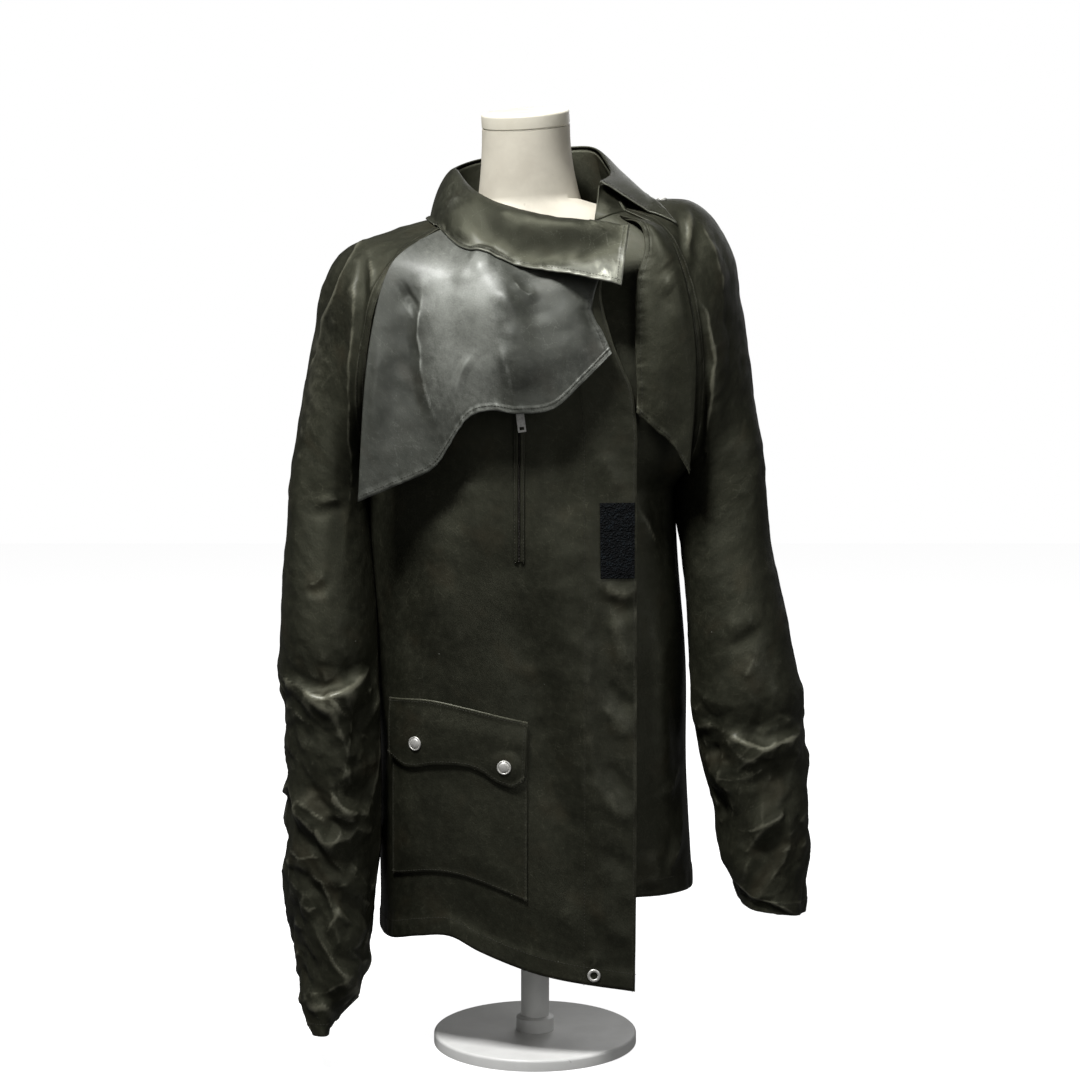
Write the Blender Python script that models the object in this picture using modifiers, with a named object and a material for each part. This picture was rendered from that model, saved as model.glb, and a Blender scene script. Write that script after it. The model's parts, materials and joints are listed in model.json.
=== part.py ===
"""A short asymmetric jacket of waxed cotton, hanging unfastened on a limbless dress form.

Metres, +Z up, origin under the middle of the stand. The front faces -Y, so the wearer's
right side is at -X. Each cut piece is one thin wall: a loft of rows between two seam lines,
given its thickness by Solidify. A level of 0 is the hem, 1 the armpit and 2 the neckline.
On a sleeve 0 is the neckline, 1 the armpit and 2 the cuff.
"""

import math
from collections import namedtuple

import bmesh
import bpy
from mathutils import Matrix, Vector
from mathutils.bvhtree import BVHTree

MM = 0.001

# Driving dimensions, in millimetres.
CLOTH = 1.4
COLLAR_CLOTH = 1.8
PATCH_CLOTH = 1.1
SEAM_TRIM = 0.4
SEAT_GAP = 0.35
PATCH_LIFT = 0.8
COLLAR_LIFT = 1.15
STAND_FOOT = 0.55
CLEAR_REACH = 30.0
BEYOND = 1500.0
BACK_DEPTH = 0.88
BACK_NECK_RISE = 12.0
BACK_NECK_INSET = 0.16
ELLIPSE_PULL = 4.0 / 3.0

NECK_LEAN = math.radians(11.0)
NECK_TILT = math.radians(3.6)
CAP_RADIUS = 45.4
CAP_HEIGHT = 15.0
CAP_CENTRE = Vector((-9.2, -11.0, 965.0))
FORM_SIDES = 28
FORM_SHARP = math.radians(50.0)

POLE_RADIUS = 15.0
POLE_TOP = 199.6
BASE_RADIUS = 108.0
BASE_HEIGHT = 12.0
BASE_BEVEL = 3.0

SNAP_RADIUS = 7.2
SNAP_HEIGHT = 2.6
STUD_RADIUS = 5.0
STUD_HEIGHT = 2.4
EYELET_RADIUS = 5.2
EYELET_WIRE = 1.5
EYELET_HEIGHT = 1.6

ZIP_TOP_Z = 686.0
ZIP_BOTTOM_Z = 524.0
ZIP_X = -15.6
ZIP_SLOT = 2.4
WELT_WIDTH = 4.2
CHAIN_WIDTH = 1.6
CHAIN_THICK = 0.8
SLIDER_SIZE = (8.0, 3.4, 11.0)
BRIDGE_WIDTH = 1.6
BRIDGE_BAR = 1.1
BRIDGE_SPACE = 2.2
BRIDGE_TALL = 8.2
BRIDGE_FOOT_Z = 3.55
BRIDGE_ROOT = 1.0
PULL_WIDTH = 8.2
PULL_LENGTH = 27.0
PULL_BAR = 1.4
PULL_TILT = math.radians(-7.0)
PULL_HINGE_Z = 1.6
PULL_EYE_WIDTH = 3.4
PULL_EYE_TALL = 7.0
PULL_SLOT_WIDTH = 4.6
PULL_SLOT_TOP = -21.0
PULL_SLOT_TALL = 3.0

# How finely each loft is cut.
RAGLAN_STEPS = 10
NECK_CROWDING = 1.5
BODY_STEPS = 9
TUBE_STEPS = 18
PANEL_COLUMNS = 11
SLEEVE_COLUMNS = 7
FLAP_STEPS = 11

# The seam from armpit to neck. The body and sleeve columns are the pulls that shape the rows
# leaving the seam, and the over columns are the overarm line that the sleeve reaches.
RaglanRow = namedtuple(
    "RaglanRow", "at x y z body_x body_y over_x over_y over_z sleeve_x sleeve_y over_pull"
)
RAGLAN_RIGHT = (
    RaglanRow(0.00, -177, 0, 606, 0, -100, -253, 0, 606, 0, -88, 88),
    RaglanRow(0.15, -176, -52, 640, 8, -52, -248, 0, 650, -6, -46, 80),
    RaglanRow(0.35, -172, -86, 694, 26, -26, -240, 0, 700, -16, -10, 66),
    RaglanRow(0.55, -166, -98, 742, 34, -12, -229, 0, 752, -20, 4, 56),
    RaglanRow(0.75, -154, -100, 792, 36, -8, -220, 0, 806, -22, 8, 50),
    RaglanRow(0.88, -128, -84, 834, 34, -10, -196, 2, 842, -22, 14, 44),
    RaglanRow(0.95, -104, -64, 853, 26, -14, -146, 2, 860, -16, 16, 34),
    RaglanRow(1.00, -84, -54, 864, 20, -14, -90, 0, 876, -4, 16, 18),
)
RAGLAN_LEFT = (
    RaglanRow(0.00, 146, 0, 594, 0, -96, 240, 0, 596, 0, -86, 86),
    RaglanRow(0.15, 159, -50, 622, -8, -50, 236, 0, 640, 6, -44, 80),
    RaglanRow(0.35, 161, -86, 690, -24, -26, 229, 0, 690, 16, -10, 66),
    RaglanRow(0.55, 161, -98, 736, -32, -12, 222, 0, 738, 20, 4, 56),
    RaglanRow(0.75, 154, -98, 782, -36, -8, 213, 0, 792, 20, 8, 50),
    RaglanRow(0.88, 141, -86, 830, -34, -8, 198, 2, 850, 18, 12, 44),
    RaglanRow(0.95, 122, -66, 860, -26, -12, 160, 3, 891, 14, 16, 34),
    RaglanRow(1.00, 92, -50, 876, -18, -14, 98, 4, 891, 4, 16, 18),
)

# The side seam from hem (0) to armpit (1), and how far the rows run straight forward from it.
SideRow = namedtuple("SideRow", "at x z pull")
SIDE_RIGHT = (
    SideRow(0.00, -164, 126, 92),
    SideRow(0.35, -165, 290, 98),
    SideRow(0.60, -169, 405, 104),
    SideRow(0.85, -173, 540, 104),
    SideRow(1.00, -177, 606, 100),
)
SIDE_LEFT = (
    SideRow(0.00, 167, 172, 88),
    SideRow(0.30, 160, 300, 94),
    SideRow(0.60, 159, 405, 98),
    SideRow(0.85, 150, 520, 98),
    SideRow(1.00, 146, 594, 96),
)

# The front edges from hem (0) to neckline (2); reach and bow pull the rows that arrive there.
EdgeRow = namedtuple("EdgeRow", "at x y z reach bow")
EDGE_RIGHT = (
    EdgeRow(0.00, 102, -112, 85, 165, 14),
    EdgeRow(0.20, 103, -111, 190, 165, 14),
    EdgeRow(0.60, 103, -109, 400, 165, 14),
    EdgeRow(1.00, 102, -109, 606, 160, 14),
    EdgeRow(1.20, 102, -111, 655, 155, 12),
    EdgeRow(1.35, 97, -114, 696, 150, 10),
    EdgeRow(1.45, 87, -117, 720, 140, 8),
    EdgeRow(1.55, 77, -119, 745, 130, 8),
    EdgeRow(1.75, 66, -116, 790, 110, 8),
    EdgeRow(2.00, 72, -104, 826, 90, 6),
)
EDGE_LEFT = (
    EdgeRow(0.00, -80, -98, 178, -130, 5),
    EdgeRow(1.00, -60, -98, 596, -120, 5),
    EdgeRow(1.35, -24, -97, 690, -110, 5),
    EdgeRow(1.60, 14, -92, 760, -90, 5),
    EdgeRow(1.85, 46, -76, 826, -50, 4),
    EdgeRow(2.00, 60, -60, 866, -14, 2),
)

# The hem of the right front dips unevenly: heights over the straight line from seam to edge.
HemRow = namedtuple("HemRow", "at lift")
HEM_RIGHT = (
    HemRow(0.00, 0),
    HemRow(0.22, 9),
    HemRow(0.40, 26),
    HemRow(0.52, 34),
    HemRow(0.62, 24),
    HemRow(0.80, 8),
    HemRow(1.00, 0),
)

# The middle of the back.
BackRow = namedtuple("BackRow", "at x y z reach")
BACK_MIDDLE = (
    BackRow(0.00, 0, 108, 152, 92),
    BackRow(1.00, -8, 112, 600, 92),
    BackRow(1.50, -4, 106, 742, 90),
    BackRow(1.80, 0, 88, 832, 72),
    BackRow(2.00, -3, 64, 899, 36),
)

# A sleeve below the armpit (1) to the cuff (2): outer and inner line, middle and half depth.
TubeRow = namedtuple("TubeRow", "at over_x over_z under_x under_z y depth")
TUBE_RIGHT = (
    TubeRow(1.00, -253, 606, -177, 606, 0, 66),
    TubeRow(1.12, -259, 540, -173, 540, -24, 68),
    TubeRow(1.24, -263, 471, -167, 471, -40, 68),
    TubeRow(1.34, -263, 415, -165, 415, -48, 67),
    TubeRow(1.44, -260, 358, -163, 361, -52, 65),
    TubeRow(1.54, -257, 304, -162, 304, -54, 63),
    TubeRow(1.67, -259, 230, -163, 230, -54, 62),
    TubeRow(1.76, -257, 184, -166, 184, -54, 61),
    TubeRow(1.87, -253, 124, -172, 128, -53, 61),
    TubeRow(1.93, -249, 90, -175, 94, -51, 62),
    TubeRow(1.965, -241, 65, -188, 70, -49, 63),
    TubeRow(2.00, -227, 39, -206, 39, -46, 64),
)
TUBE_LEFT = (
    TubeRow(1.00, 240, 596, 146, 594, 0, 64.5),
    TubeRow(1.15, 247, 535, 152, 532, -14, 67),
    TubeRow(1.30, 262, 467, 158, 467, -27, 67),
    TubeRow(1.42, 270, 410, 160, 412, -36, 66),
    TubeRow(1.53, 280, 360, 164, 360, -41, 64),
    TubeRow(1.64, 282, 306, 174, 306, -43, 62),
    TubeRow(1.72, 282.5, 262, 185, 268, -45, 60),
    TubeRow(1.84, 284, 205, 193, 213, -45, 58),
    TubeRow(1.90, 284, 184, 203, 192, -45, 56),
    TubeRow(2.00, 282, 156, 212, 169, -45, 54),
)

# The largest folds, as ridges (deep > 0) and troughs (deep < 0) along lines seen from the front.
FoldRow = namedtuple("FoldRow", "x z to_x to_z wide deep")
FLAP_RIGHT_FOLDS = (
    FoldRow(-113, 800, -94, 645, 15, 6),
    FoldRow(-134, 770, -124, 640, 16, -3),
    FoldRow(-32, 800, -14, 690, 20, 5),
    FoldRow(-70, 790, -52, 690, 18, -3),
)
SLEEVE_RIGHT_FOLDS = (
    FoldRow(-248, 372, -170, 412, 20, -5),
    FoldRow(-240, 330, -175, 385, 22, 5),
    FoldRow(-250, 296, -180, 262, 22, -4),
    FoldRow(-245, 240, -190, 205, 22, 4),
    FoldRow(-248, 170, -185, 150, 20, -4),
    FoldRow(-214, 720, -196, 560, 22, -5),
)
SLEEVE_LEFT_FOLDS = (
    FoldRow(170, 350, 232, 300, 22, -5),
    FoldRow(175, 372, 268, 352, 24, 5),
    FoldRow(190, 240, 262, 215, 22, 4),
    FoldRow(196, 205, 270, 190, 20, -4),
    FoldRow(196, 720, 204, 590, 24, -5),
)

# The outlines of the two storm flaps: each edge runs from the first row to the last.
PlaceRow = namedtuple("PlaceRow", "at x y z")
FLAP_RIGHT_SEAM = (
    PlaceRow(0.00, -88, -61, 858),
    PlaceRow(0.08, -100, -67, 855),
    PlaceRow(0.22, -130, -91, 836),
    PlaceRow(0.32, -145, -101, 818),
    PlaceRow(0.47, -158, -107, 777),
    PlaceRow(0.70, -169, -112, 706),
    PlaceRow(1.00, -177, -112, 585),
)
FLAP_RIGHT_FRONT = (
    PlaceRow(0.00, 68, -108, 820),
    PlaceRow(0.40, 57, -122, 778),
    PlaceRow(0.70, 68, -127, 752),
    PlaceRow(1.00, 76, -130, 733),
)
FLAP_RIGHT_HEM = (
    PlaceRow(0.00, -177, -112, 585),
    PlaceRow(0.16, -135, -120, 603),
    PlaceRow(0.30, -100, -127, 620),
    PlaceRow(0.38, -84, -131, 643),
    PlaceRow(0.46, -66, -136, 669),
    PlaceRow(0.55, -44, -140, 677),
    PlaceRow(0.65, -16, -142, 674),
    PlaceRow(0.78, 19, -141, 679),
    PlaceRow(0.89, 48, -137, 705),
    PlaceRow(1.00, 76, -130, 733),
)
FLAP_LEFT_SEAM = (
    PlaceRow(0.00, 96, -57, 872),
    PlaceRow(0.14, 128, -76, 859),
    PlaceRow(0.28, 144, -93, 827),
    PlaceRow(0.46, 156, -104, 778),
    PlaceRow(0.62, 161, -105, 736),
    PlaceRow(0.78, 161, -104, 694),
    PlaceRow(1.00, 155, -104, 612),
)
FLAP_LEFT_FRONT = (
    PlaceRow(0.00, 86, -60, 869),
    PlaceRow(0.10, 105, -80, 862),
    PlaceRow(0.20, 110, -93, 838),
    PlaceRow(0.36, 102, -101, 806),
    PlaceRow(0.60, 100, -110, 745),
    PlaceRow(0.85, 102, -114, 695),
    PlaceRow(1.00, 101, -114, 674),
)
FLAP_LEFT_HEM = (
    PlaceRow(0.00, 101, -114, 674),
    PlaceRow(0.35, 121, -113, 656),
    PlaceRow(0.62, 137, -110, 642),
    PlaceRow(0.85, 151, -106, 620),
    PlaceRow(1.00, 155, -104, 612),
)

# The collar from its long front end, round the neck, to the end turned out on the left shoulder:
# its roll, its free edge, and how far the fall swells. The at column is a share of the neckline.
CollarRow = namedtuple("CollarRow", "at roll_x roll_y roll_z fall_x fall_y fall_z swell")
COLLAR = (
    CollarRow(0.00, 94, -109, 860, 85, -141, 798, 2),
    CollarRow(0.06, 57, -105, 863, 48, -137, 808, 4),
    CollarRow(0.12, 19, -95, 865, 19, -131, 814, 8),
    CollarRow(0.18, -23, -76, 876, -28, -118, 823, 12),
    CollarRow(0.24, -53, -47, 891, -68, -94, 835, 14),
    CollarRow(0.30, -69, -20, 904, -94, -57, 855, 14),
    CollarRow(0.39, -80, 14, 920, -107, -12, 864, 12),
    CollarRow(0.47, -82, 42, 926, -102, 44, 870, 10),
    CollarRow(0.55, -58, 60, 936, -64, 76, 869, 9),
    CollarRow(0.62, -6, 67, 944, -4, 88, 873, 9),
    CollarRow(0.69, 38, 62, 949, 50, 84, 882, 9),
    CollarRow(0.75, 62, 52, 947, 90, 66, 892, 9),
    CollarRow(0.82, 74, 30, 931, 111, 34, 895, 8),
    CollarRow(0.90, 78, -4, 916, 121, -17, 888, 6),
    CollarRow(1.00, 66, -44, 905, 139, -52, 858, 4),
)
COLLAR_STEPS = 34

# The patch pocket, its flap and the hook-and-loop square: edges in the plane of the front.
FlatRow = namedtuple("FlatRow", "at x z")
POCKET_TOP = (FlatRow(0, -145, 372), FlatRow(1, -8, 352))
POCKET_BOTTOM = (
    FlatRow(0.0, -146, 196),
    FlatRow(0.3, -104, 205),
    FlatRow(0.6, -66, 201),
    FlatRow(1.0, -8, 179),
)
POCKET_FLAP_TOP = (
    FlatRow(0.0, -146, 381),
    FlatRow(0.3, -106, 383),
    FlatRow(0.6, -66, 376),
    FlatRow(1.0, -8, 362),
)
POCKET_FLAP_BOTTOM = (
    FlatRow(0.00, -146, 322),
    FlatRow(0.12, -128, 312),
    FlatRow(0.35, -97, 317),
    FlatRow(0.62, -62, 315),
    FlatRow(0.90, -24, 296),
    FlatRow(1.00, -12, 303),
)
HOOK_TOP = (FlatRow(0, 65, 584), FlatRow(1, 100, 584))
HOOK_BOTTOM = (FlatRow(0, 66, 508), FlatRow(1, 100, 508))
SNAPS = (("snap_outer", -122.0, 337.0), ("snap_inner", -31.0, 317.0))
EYELET_PLACE = (60.0, 102.5)
STUD_PLACE = (131.0, -14.0)

# The dress form from its underside to the foot of the neck.
FormRow = namedtuple("FormRow", "at x y z wide deep tilt")
FORM = (
    FormRow(0.00, 0, 0, 200, 126, 74, 0.0),
    FormRow(0.06, 0, 0, 206, 138, 82, 0.0),
    FormRow(0.16, 0, 0, 270, 142, 86, 0.0),
    FormRow(0.30, -2, 0, 380, 132, 82, 0.0),
    FormRow(0.42, -4, 0, 480, 118, 78, 0.01),
    FormRow(0.55, -6, 0, 590, 128, 84, 0.03),
    FormRow(0.68, -7, 0, 690, 140, 86, 0.06),
    FormRow(0.78, -7, 0, 780, 146, 82, 0.09),
    FormRow(0.85, -7, 0, 836, 145, 72, 0.10),
    FormRow(0.90, -7, 0, 861, 132, 62, 0.096),
    FormRow(0.94, -7, 0, 873, 106, 56, 0.08),
    FormRow(0.97, -6, 0, 880, 76, 53, 0.065),
    FormRow(1.00, -6, 0, 888, 54, 51, 0.06),
)
FORM_STEPS = 24
NECK_ROWS = 5


def blend(table, at):
    """The row of a table at a place between its rows, on a smooth curve through them."""
    last = len(table) - 1
    index = next((i for i in range(last) if at <= table[i + 1].at), last - 1)
    before, low = table[max(index - 1, 0)], table[index]
    high, after = table[index + 1], table[min(index + 2, last)]
    span = high.at - low.at
    t = (at - low.at) / span
    leave = span / (high.at - before.at)
    arrive = span / (after.at - low.at)
    values = []
    for a, b, c, d in zip(before, low, high, after):
        start = (c - a) * leave
        end = (d - b) * arrive
        rise = 3 * (c - b) - 2 * start - end
        settle = 2 * (b - c) + start + end
        values.append(b + t * (start + t * (rise + t * settle)))
    return type(low)(*values)


def bezier(a, b, c, d, t):
    """A point on the cubic curve from a to d, pulled towards b and c."""
    s = 1 - t
    return s * s * s * a + 3 * s * s * t * b + 3 * s * t * t * c + t * t * t * d


def shares(count):
    """Evenly spaced numbers from 0 to 1."""
    return [step / count for step in range(count + 1)]


def trimmed(a, b, c, d, t, trim_start=SEAM_TRIM, trim_end=SEAM_TRIM):
    """A point on the cubic curve, which stops short of each end by its seam's trim."""
    low = trim_start / (3 * (b - a).length)
    high = 1 - trim_end / (3 * (d - c).length)
    return bezier(a, b, c, d, low + (high - low) * t)


def folded(point, folds):
    """The point of a front piece, moved forward on a ridge and back in a trough."""
    moved = point.copy()
    for fold in folds:
        run = Vector((fold.to_x - fold.x, fold.to_z - fold.z))
        place_xz = Vector((point.x - fold.x, point.z - fold.z))
        share = min(max(place_xz.dot(run) / run.length_squared, 0.0), 1.0)
        apart = (place_xz - run * share).length / fold.wide
        moved.y -= fold.deep * math.exp(-apart * apart)
    return moved


def back_seam(row):
    """The raglan row of the front, carried round to the back of the body."""
    lift = row.at**4
    return row._replace(
        x=row.x * (1 - BACK_NECK_INSET * lift),
        y=-row.y * BACK_DEPTH,
        z=row.z + BACK_NECK_RISE * lift,
        body_y=-row.body_y * BACK_DEPTH,
        sleeve_y=-row.sleeve_y * BACK_DEPTH,
        over_pull=-row.over_pull * BACK_DEPTH,
    )


def body_side(side, raglan, level, behind):
    """Where a body row starts at the side, and the pull with which it leaves."""
    if level <= 1:
        row = blend(side, level)
        pull = row.pull * (BACK_DEPTH if behind else -1)
        return Vector((row.x, 0, row.z)), Vector((0, pull, 0))
    row = blend(raglan, level - 1)
    if behind:
        row = back_seam(row)
    return Vector((row.x, row.y, row.z)), Vector((row.body_x, row.body_y, 0))


def front_point(side, raglan, edge, hem, u, level):
    """A point of a front, from its side (u = 0) to its front edge (u = 1)."""
    start, pull = body_side(side, raglan, level, False)
    row = blend(edge, level)
    end = Vector((row.x, row.y, row.z))
    arrive = Vector((-row.reach, -row.bow, 0))
    fall = (end.z - start.z) / 3
    leave = start + pull + Vector((0, 0, fall))
    point = trimmed(start, leave, end + arrive - Vector((0, 0, fall)), end, u, trim_end=0)
    if hem and level < 1:
        point.z += blend(hem, u).lift * (1 - level) ** 2
    return point


def back_point(u, level):
    """A point of the back, from the right side (u = 0) to the left side (u = 1)."""
    row = blend(BACK_MIDDLE, level)
    middle = Vector((row.x, row.y, row.z))
    on_right = u <= 0.5
    side, raglan = (SIDE_RIGHT, RAGLAN_RIGHT) if on_right else (SIDE_LEFT, RAGLAN_LEFT)
    start, pull = body_side(side, raglan, level, True)
    reach = Vector((-row.reach if on_right else row.reach, 0, 0))
    t = 2 * u if on_right else 2 * (1 - u)
    return trimmed(start, start + pull, middle + reach, middle, t, trim_end=0)


def sleeve_point(raglan, tube, u, level, behind):
    """A point of half a sleeve, from the overarm seam (u = 0) to the raglan or underarm seam."""
    if level < 1:
        row = blend(raglan, 1 - level)
        if behind:
            row = back_seam(row)
        start = Vector((row.over_x, row.over_y, row.over_z))
        end = Vector((row.x, row.y, row.z))
        leave = Vector((0, -row.over_pull, 0))
        arrive = Vector((row.sleeve_x, row.sleeve_y, (start.z - end.z) / 3))
    else:
        row = blend(tube, level)
        sway = row.y
        start = Vector((row.over_x, sway, row.over_z))
        end = Vector((row.under_x, sway, row.under_z))
        reach = row.depth * ELLIPSE_PULL * (BACK_DEPTH if behind else -1)
        leave = Vector((0, reach, 0))
        arrive = Vector((0, reach, 0))
    return trimmed(start, start + leave, end + arrive, end, u)


def place(table, at):
    """The point of a table of places, between its rows."""
    row = blend(table, at)
    return Vector((row.x, row.y, row.z))


def coons(first, last, start, end, u, v):
    """A point of the patch between four edges: first and last run along v, start and end along u."""
    ruled = first(v) * (1 - u) + last(v) * u
    across = start(u) * (1 - v) + end(u) * v
    corners = (first(0) * (1 - u) + last(0) * u) * (1 - v) + (first(1) * (1 - u) + last(1) * u) * v
    return ruled + across - corners


def material(name, colour, roughness, metallic=0.0):
    """A plain finish."""
    made = bpy.data.materials.new(name)
    made.use_nodes = True
    shader = made.node_tree.nodes["Principled BSDF"]
    shader.inputs["Base Color"].default_value = (*colour, 1.0)
    shader.inputs["Roughness"].default_value = roughness
    shader.inputs["Metallic"].default_value = metallic
    made.diffuse_color = (*colour, 1.0)
    return made


def linked(name, mesh, finish):
    """An object of this mesh in the part's collection."""
    obj = bpy.data.objects.new(name, mesh)
    mesh.materials.append(finish)
    bpy.data.collections["waxed_jacket"].objects.link(obj)
    return obj


def grid_mesh(name, rows, flip=False, closed=False):
    """A surface through rows of points in millimetres, joined to a ring where it is closed."""
    wide = len(rows[0])
    points = [point * MM for row in rows for point in row]
    faces = []
    for r in range(len(rows) - 1):
        for c in range(wide if closed else wide - 1):
            right = (c + 1) % wide
            face = [r * wide + c, r * wide + right, (r + 1) * wide + right, (r + 1) * wide + c]
            faces.append(face[::-1] if flip else face)
    mesh = bpy.data.meshes.new(name)
    mesh.from_pydata(points, [], faces)
    mesh.shade_smooth()
    return mesh


def cloth(name, rows, finish, flip=False, thick=CLOTH, outward=False):
    """A cloth wall on rows of points: inwards of them, or outwards for what lies on a panel."""
    obj = linked(name, grid_mesh(name, rows, flip), finish)
    wall = obj.modifiers.new("wall", "SOLIDIFY")
    wall.thickness = thick * MM
    wall.offset = 1.0 if outward else -1.0
    wall.use_even_offset = False
    return obj


def tree_of(rows_list):
    """A search tree over the outer faces of one or more panels, in millimetres."""
    points, faces = [], []
    for rows, flip in rows_list:
        first = len(points)
        wide = len(rows[0])
        points.extend(point for row in rows for point in row)
        for r in range(len(rows) - 1):
            for c in range(wide - 1):
                corner = first + r * wide + c
                face = [corner, corner + 1, corner + wide + 1, corner + wide]
                faces.append(face[::-1] if flip else face)
    return BVHTree.FromPolygons(points, faces)


def cleared(point, tree, gap):
    """The point, moved out of a panel so that it lies at least this far over it."""
    spot, normal, _, distance = tree.find_nearest(point)
    if distance > CLEAR_REACH:
        return point
    over = (point - spot).dot(normal)
    return point + normal * (gap - over) if over < gap else point


def seen_spot(tree, x, z):
    """The point of a panel that is seen from the front at this place, and its normal."""
    spot, normal, _, _ = tree.ray_cast(Vector((x, -BEYOND, z)), Vector((0, 1, 0)))
    return spot, normal


def on_panel(tree, x, z, lift):
    """The point in front of a panel at this place, lifted off it."""
    spot, normal = seen_spot(tree, x, z)
    return spot + normal * lift


def raglan_shares():
    """Places from armpit (0) to neck (1), closer together where the shoulder turns."""
    return [1 - (1 - share) ** NECK_CROWDING for share in shares(RAGLAN_STEPS)]


def body_levels():
    """The levels of the rows of a front or the back, from hem to neckline."""
    return shares(BODY_STEPS)[:-1] + [1 + share for share in raglan_shares()]


def front_rows(side, raglan, edge, hem=None):
    """The rows of a front panel."""
    return [
        [front_point(side, raglan, edge, hem, u, level) for u in shares(PANEL_COLUMNS)]
        for level in body_levels()
    ]


def sleeve_rows(raglan, tube, folds, behind):
    """The rows of half a sleeve, from neck to cuff. The folds fade out towards its seams."""
    levels = [1 - share for share in raglan_shares()[::-1]]
    levels += [1 + share for share in shares(TUBE_STEPS)[1:]]
    rows = []
    for level in levels:
        row = []
        for u in shares(SLEEVE_COLUMNS):
            point = sleeve_point(raglan, tube, u, level, behind)
            shift = folded(point, folds) - point
            row.append(point + shift * (-1 if behind else 1) * math.sin(math.pi * u))
        rows.append(row)
    return rows


def back_rows():
    """The rows of the back."""
    columns = shares(2 * SLEEVE_COLUMNS)
    return [[back_point(u, level) for u in columns] for level in body_levels()]


def flap_rows(front, seam, hem, neck_line, tree, swell, folds=()):
    """The rows of a storm flap, from its neck edge to its hem, lying clear of the panels."""

    def top(u):
        shift = (front(0) - neck_line(0)).lerp(seam(0) - neck_line(1), u)
        return neck_line(u) + shift

    rows = []
    for v in shares(FLAP_STEPS):
        row = []
        for u in shares(FLAP_STEPS):
            point = coons(front, seam, top, hem, u, v)
            point.y -= swell * math.sin(math.pi * u) * math.sin(math.pi * v)
            row.append(cleared(folded(point, folds), tree, CLOTH + PATCH_LIFT))
        rows.append(row)
    return rows


def flat_rows(top, bottom, tree, lift, columns, steps):
    """The rows of a patch laid on a panel, between a top and a bottom edge."""
    rows = []
    for v in shares(steps):
        row = []
        for u in shares(columns):
            high, low = blend(top, u), blend(bottom, u)
            x = high.x + (low.x - high.x) * v
            z = high.z + (low.z - high.z) * v
            row.append(on_panel(tree, x, z, lift))
        rows.append(row)
    return rows


def neckline(right, left, back, sleeves):
    """The neck edges of the pieces, end to end, from the right front edge to the left one."""
    right_front, right_back, left_front, left_back = [rows[0] for rows, _ in sleeves]
    line = right[-1][::-1] + right_front[::-1] + right_back + back[-1]
    return line + left_back[::-1] + left_front + left[-1]


def along(line, share):
    """The point at this share of a line's length."""
    lengths = [(b - a).length for a, b in zip(line, line[1:])]
    left = share * sum(lengths)
    for start, end, length in zip(line, line[1:], lengths):
        if left <= length:
            return start.lerp(end, left / length)
        left -= length
    return line[-1]


def stand_rows(neck_edge):
    """The collar's stand, from just over the neckline to just under the roll."""
    rows = []
    for at in shares(COLLAR_STEPS):
        row = blend(COLLAR, at)
        neck = along(neck_edge, at)
        roll = Vector((row.roll_x, row.roll_y, row.roll_z))
        up = (roll - neck).normalized()
        foot = neck + up * STAND_FOOT
        head = roll - Vector((0, 0, COLLAR_CLOTH + 2 * SEAT_GAP))
        rows.append([foot.lerp(head, t) for t in shares(2)])
    return rows


def fall_rows(tree):
    """The collar's fall, from the roll out and down to its free edge, clear of the shoulders."""
    rows = []
    for at in shares(COLLAR_STEPS):
        row = blend(COLLAR, at)
        roll = Vector((row.roll_x, row.roll_y, row.roll_z))
        free = Vector((row.fall_x, row.fall_y, row.fall_z))
        out = Vector((free.x - roll.x, free.y - roll.y, 0)).normalized()
        leave = roll + out * row.swell
        arrive = free.lerp(roll, 0.4) + out * row.swell
        line = [bezier(roll, leave, arrive, free, t) for t in shares(5)]
        rows.append([cleared(point, tree, COLLAR_CLOTH + COLLAR_LIFT) for point in line])
    return rows


def turned(name, profile, finish, sides, location=(0, 0, 0), axis=Vector((0, 0, 1))):
    """A profile of (radius, height) in millimetres, outer side down, turned about an axis."""
    mesh = bpy.data.meshes.new(name)
    points = [(radius * MM, 0, height * MM) for radius, height in profile]
    mesh.from_pydata(points, [(i, i + 1) for i in range(len(points) - 1)], [])
    obj = linked(name, mesh, finish)
    obj.location = Vector(location) * MM
    obj.rotation_euler = axis.to_track_quat("Z", "Y").to_euler()
    turn = obj.modifiers.new("turn", "SCREW")
    turn.steps = sides
    turn.render_steps = sides
    turn.use_merge_vertices = True
    turn.merge_threshold = 0.00001
    turn.use_smooth_shade = True
    return obj


def box(name, size, centre, finish):
    """A box of this size in millimetres."""
    mesh = bpy.data.meshes.new(name)
    shape = bmesh.new()
    bmesh.ops.create_cube(shape, size=1.0, matrix=Matrix.Diagonal((*[s * MM for s in size], 1)))
    shape.to_mesh(mesh)
    shape.free()
    obj = linked(name, mesh, finish)
    obj.location = Vector(centre) * MM
    return obj


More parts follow.
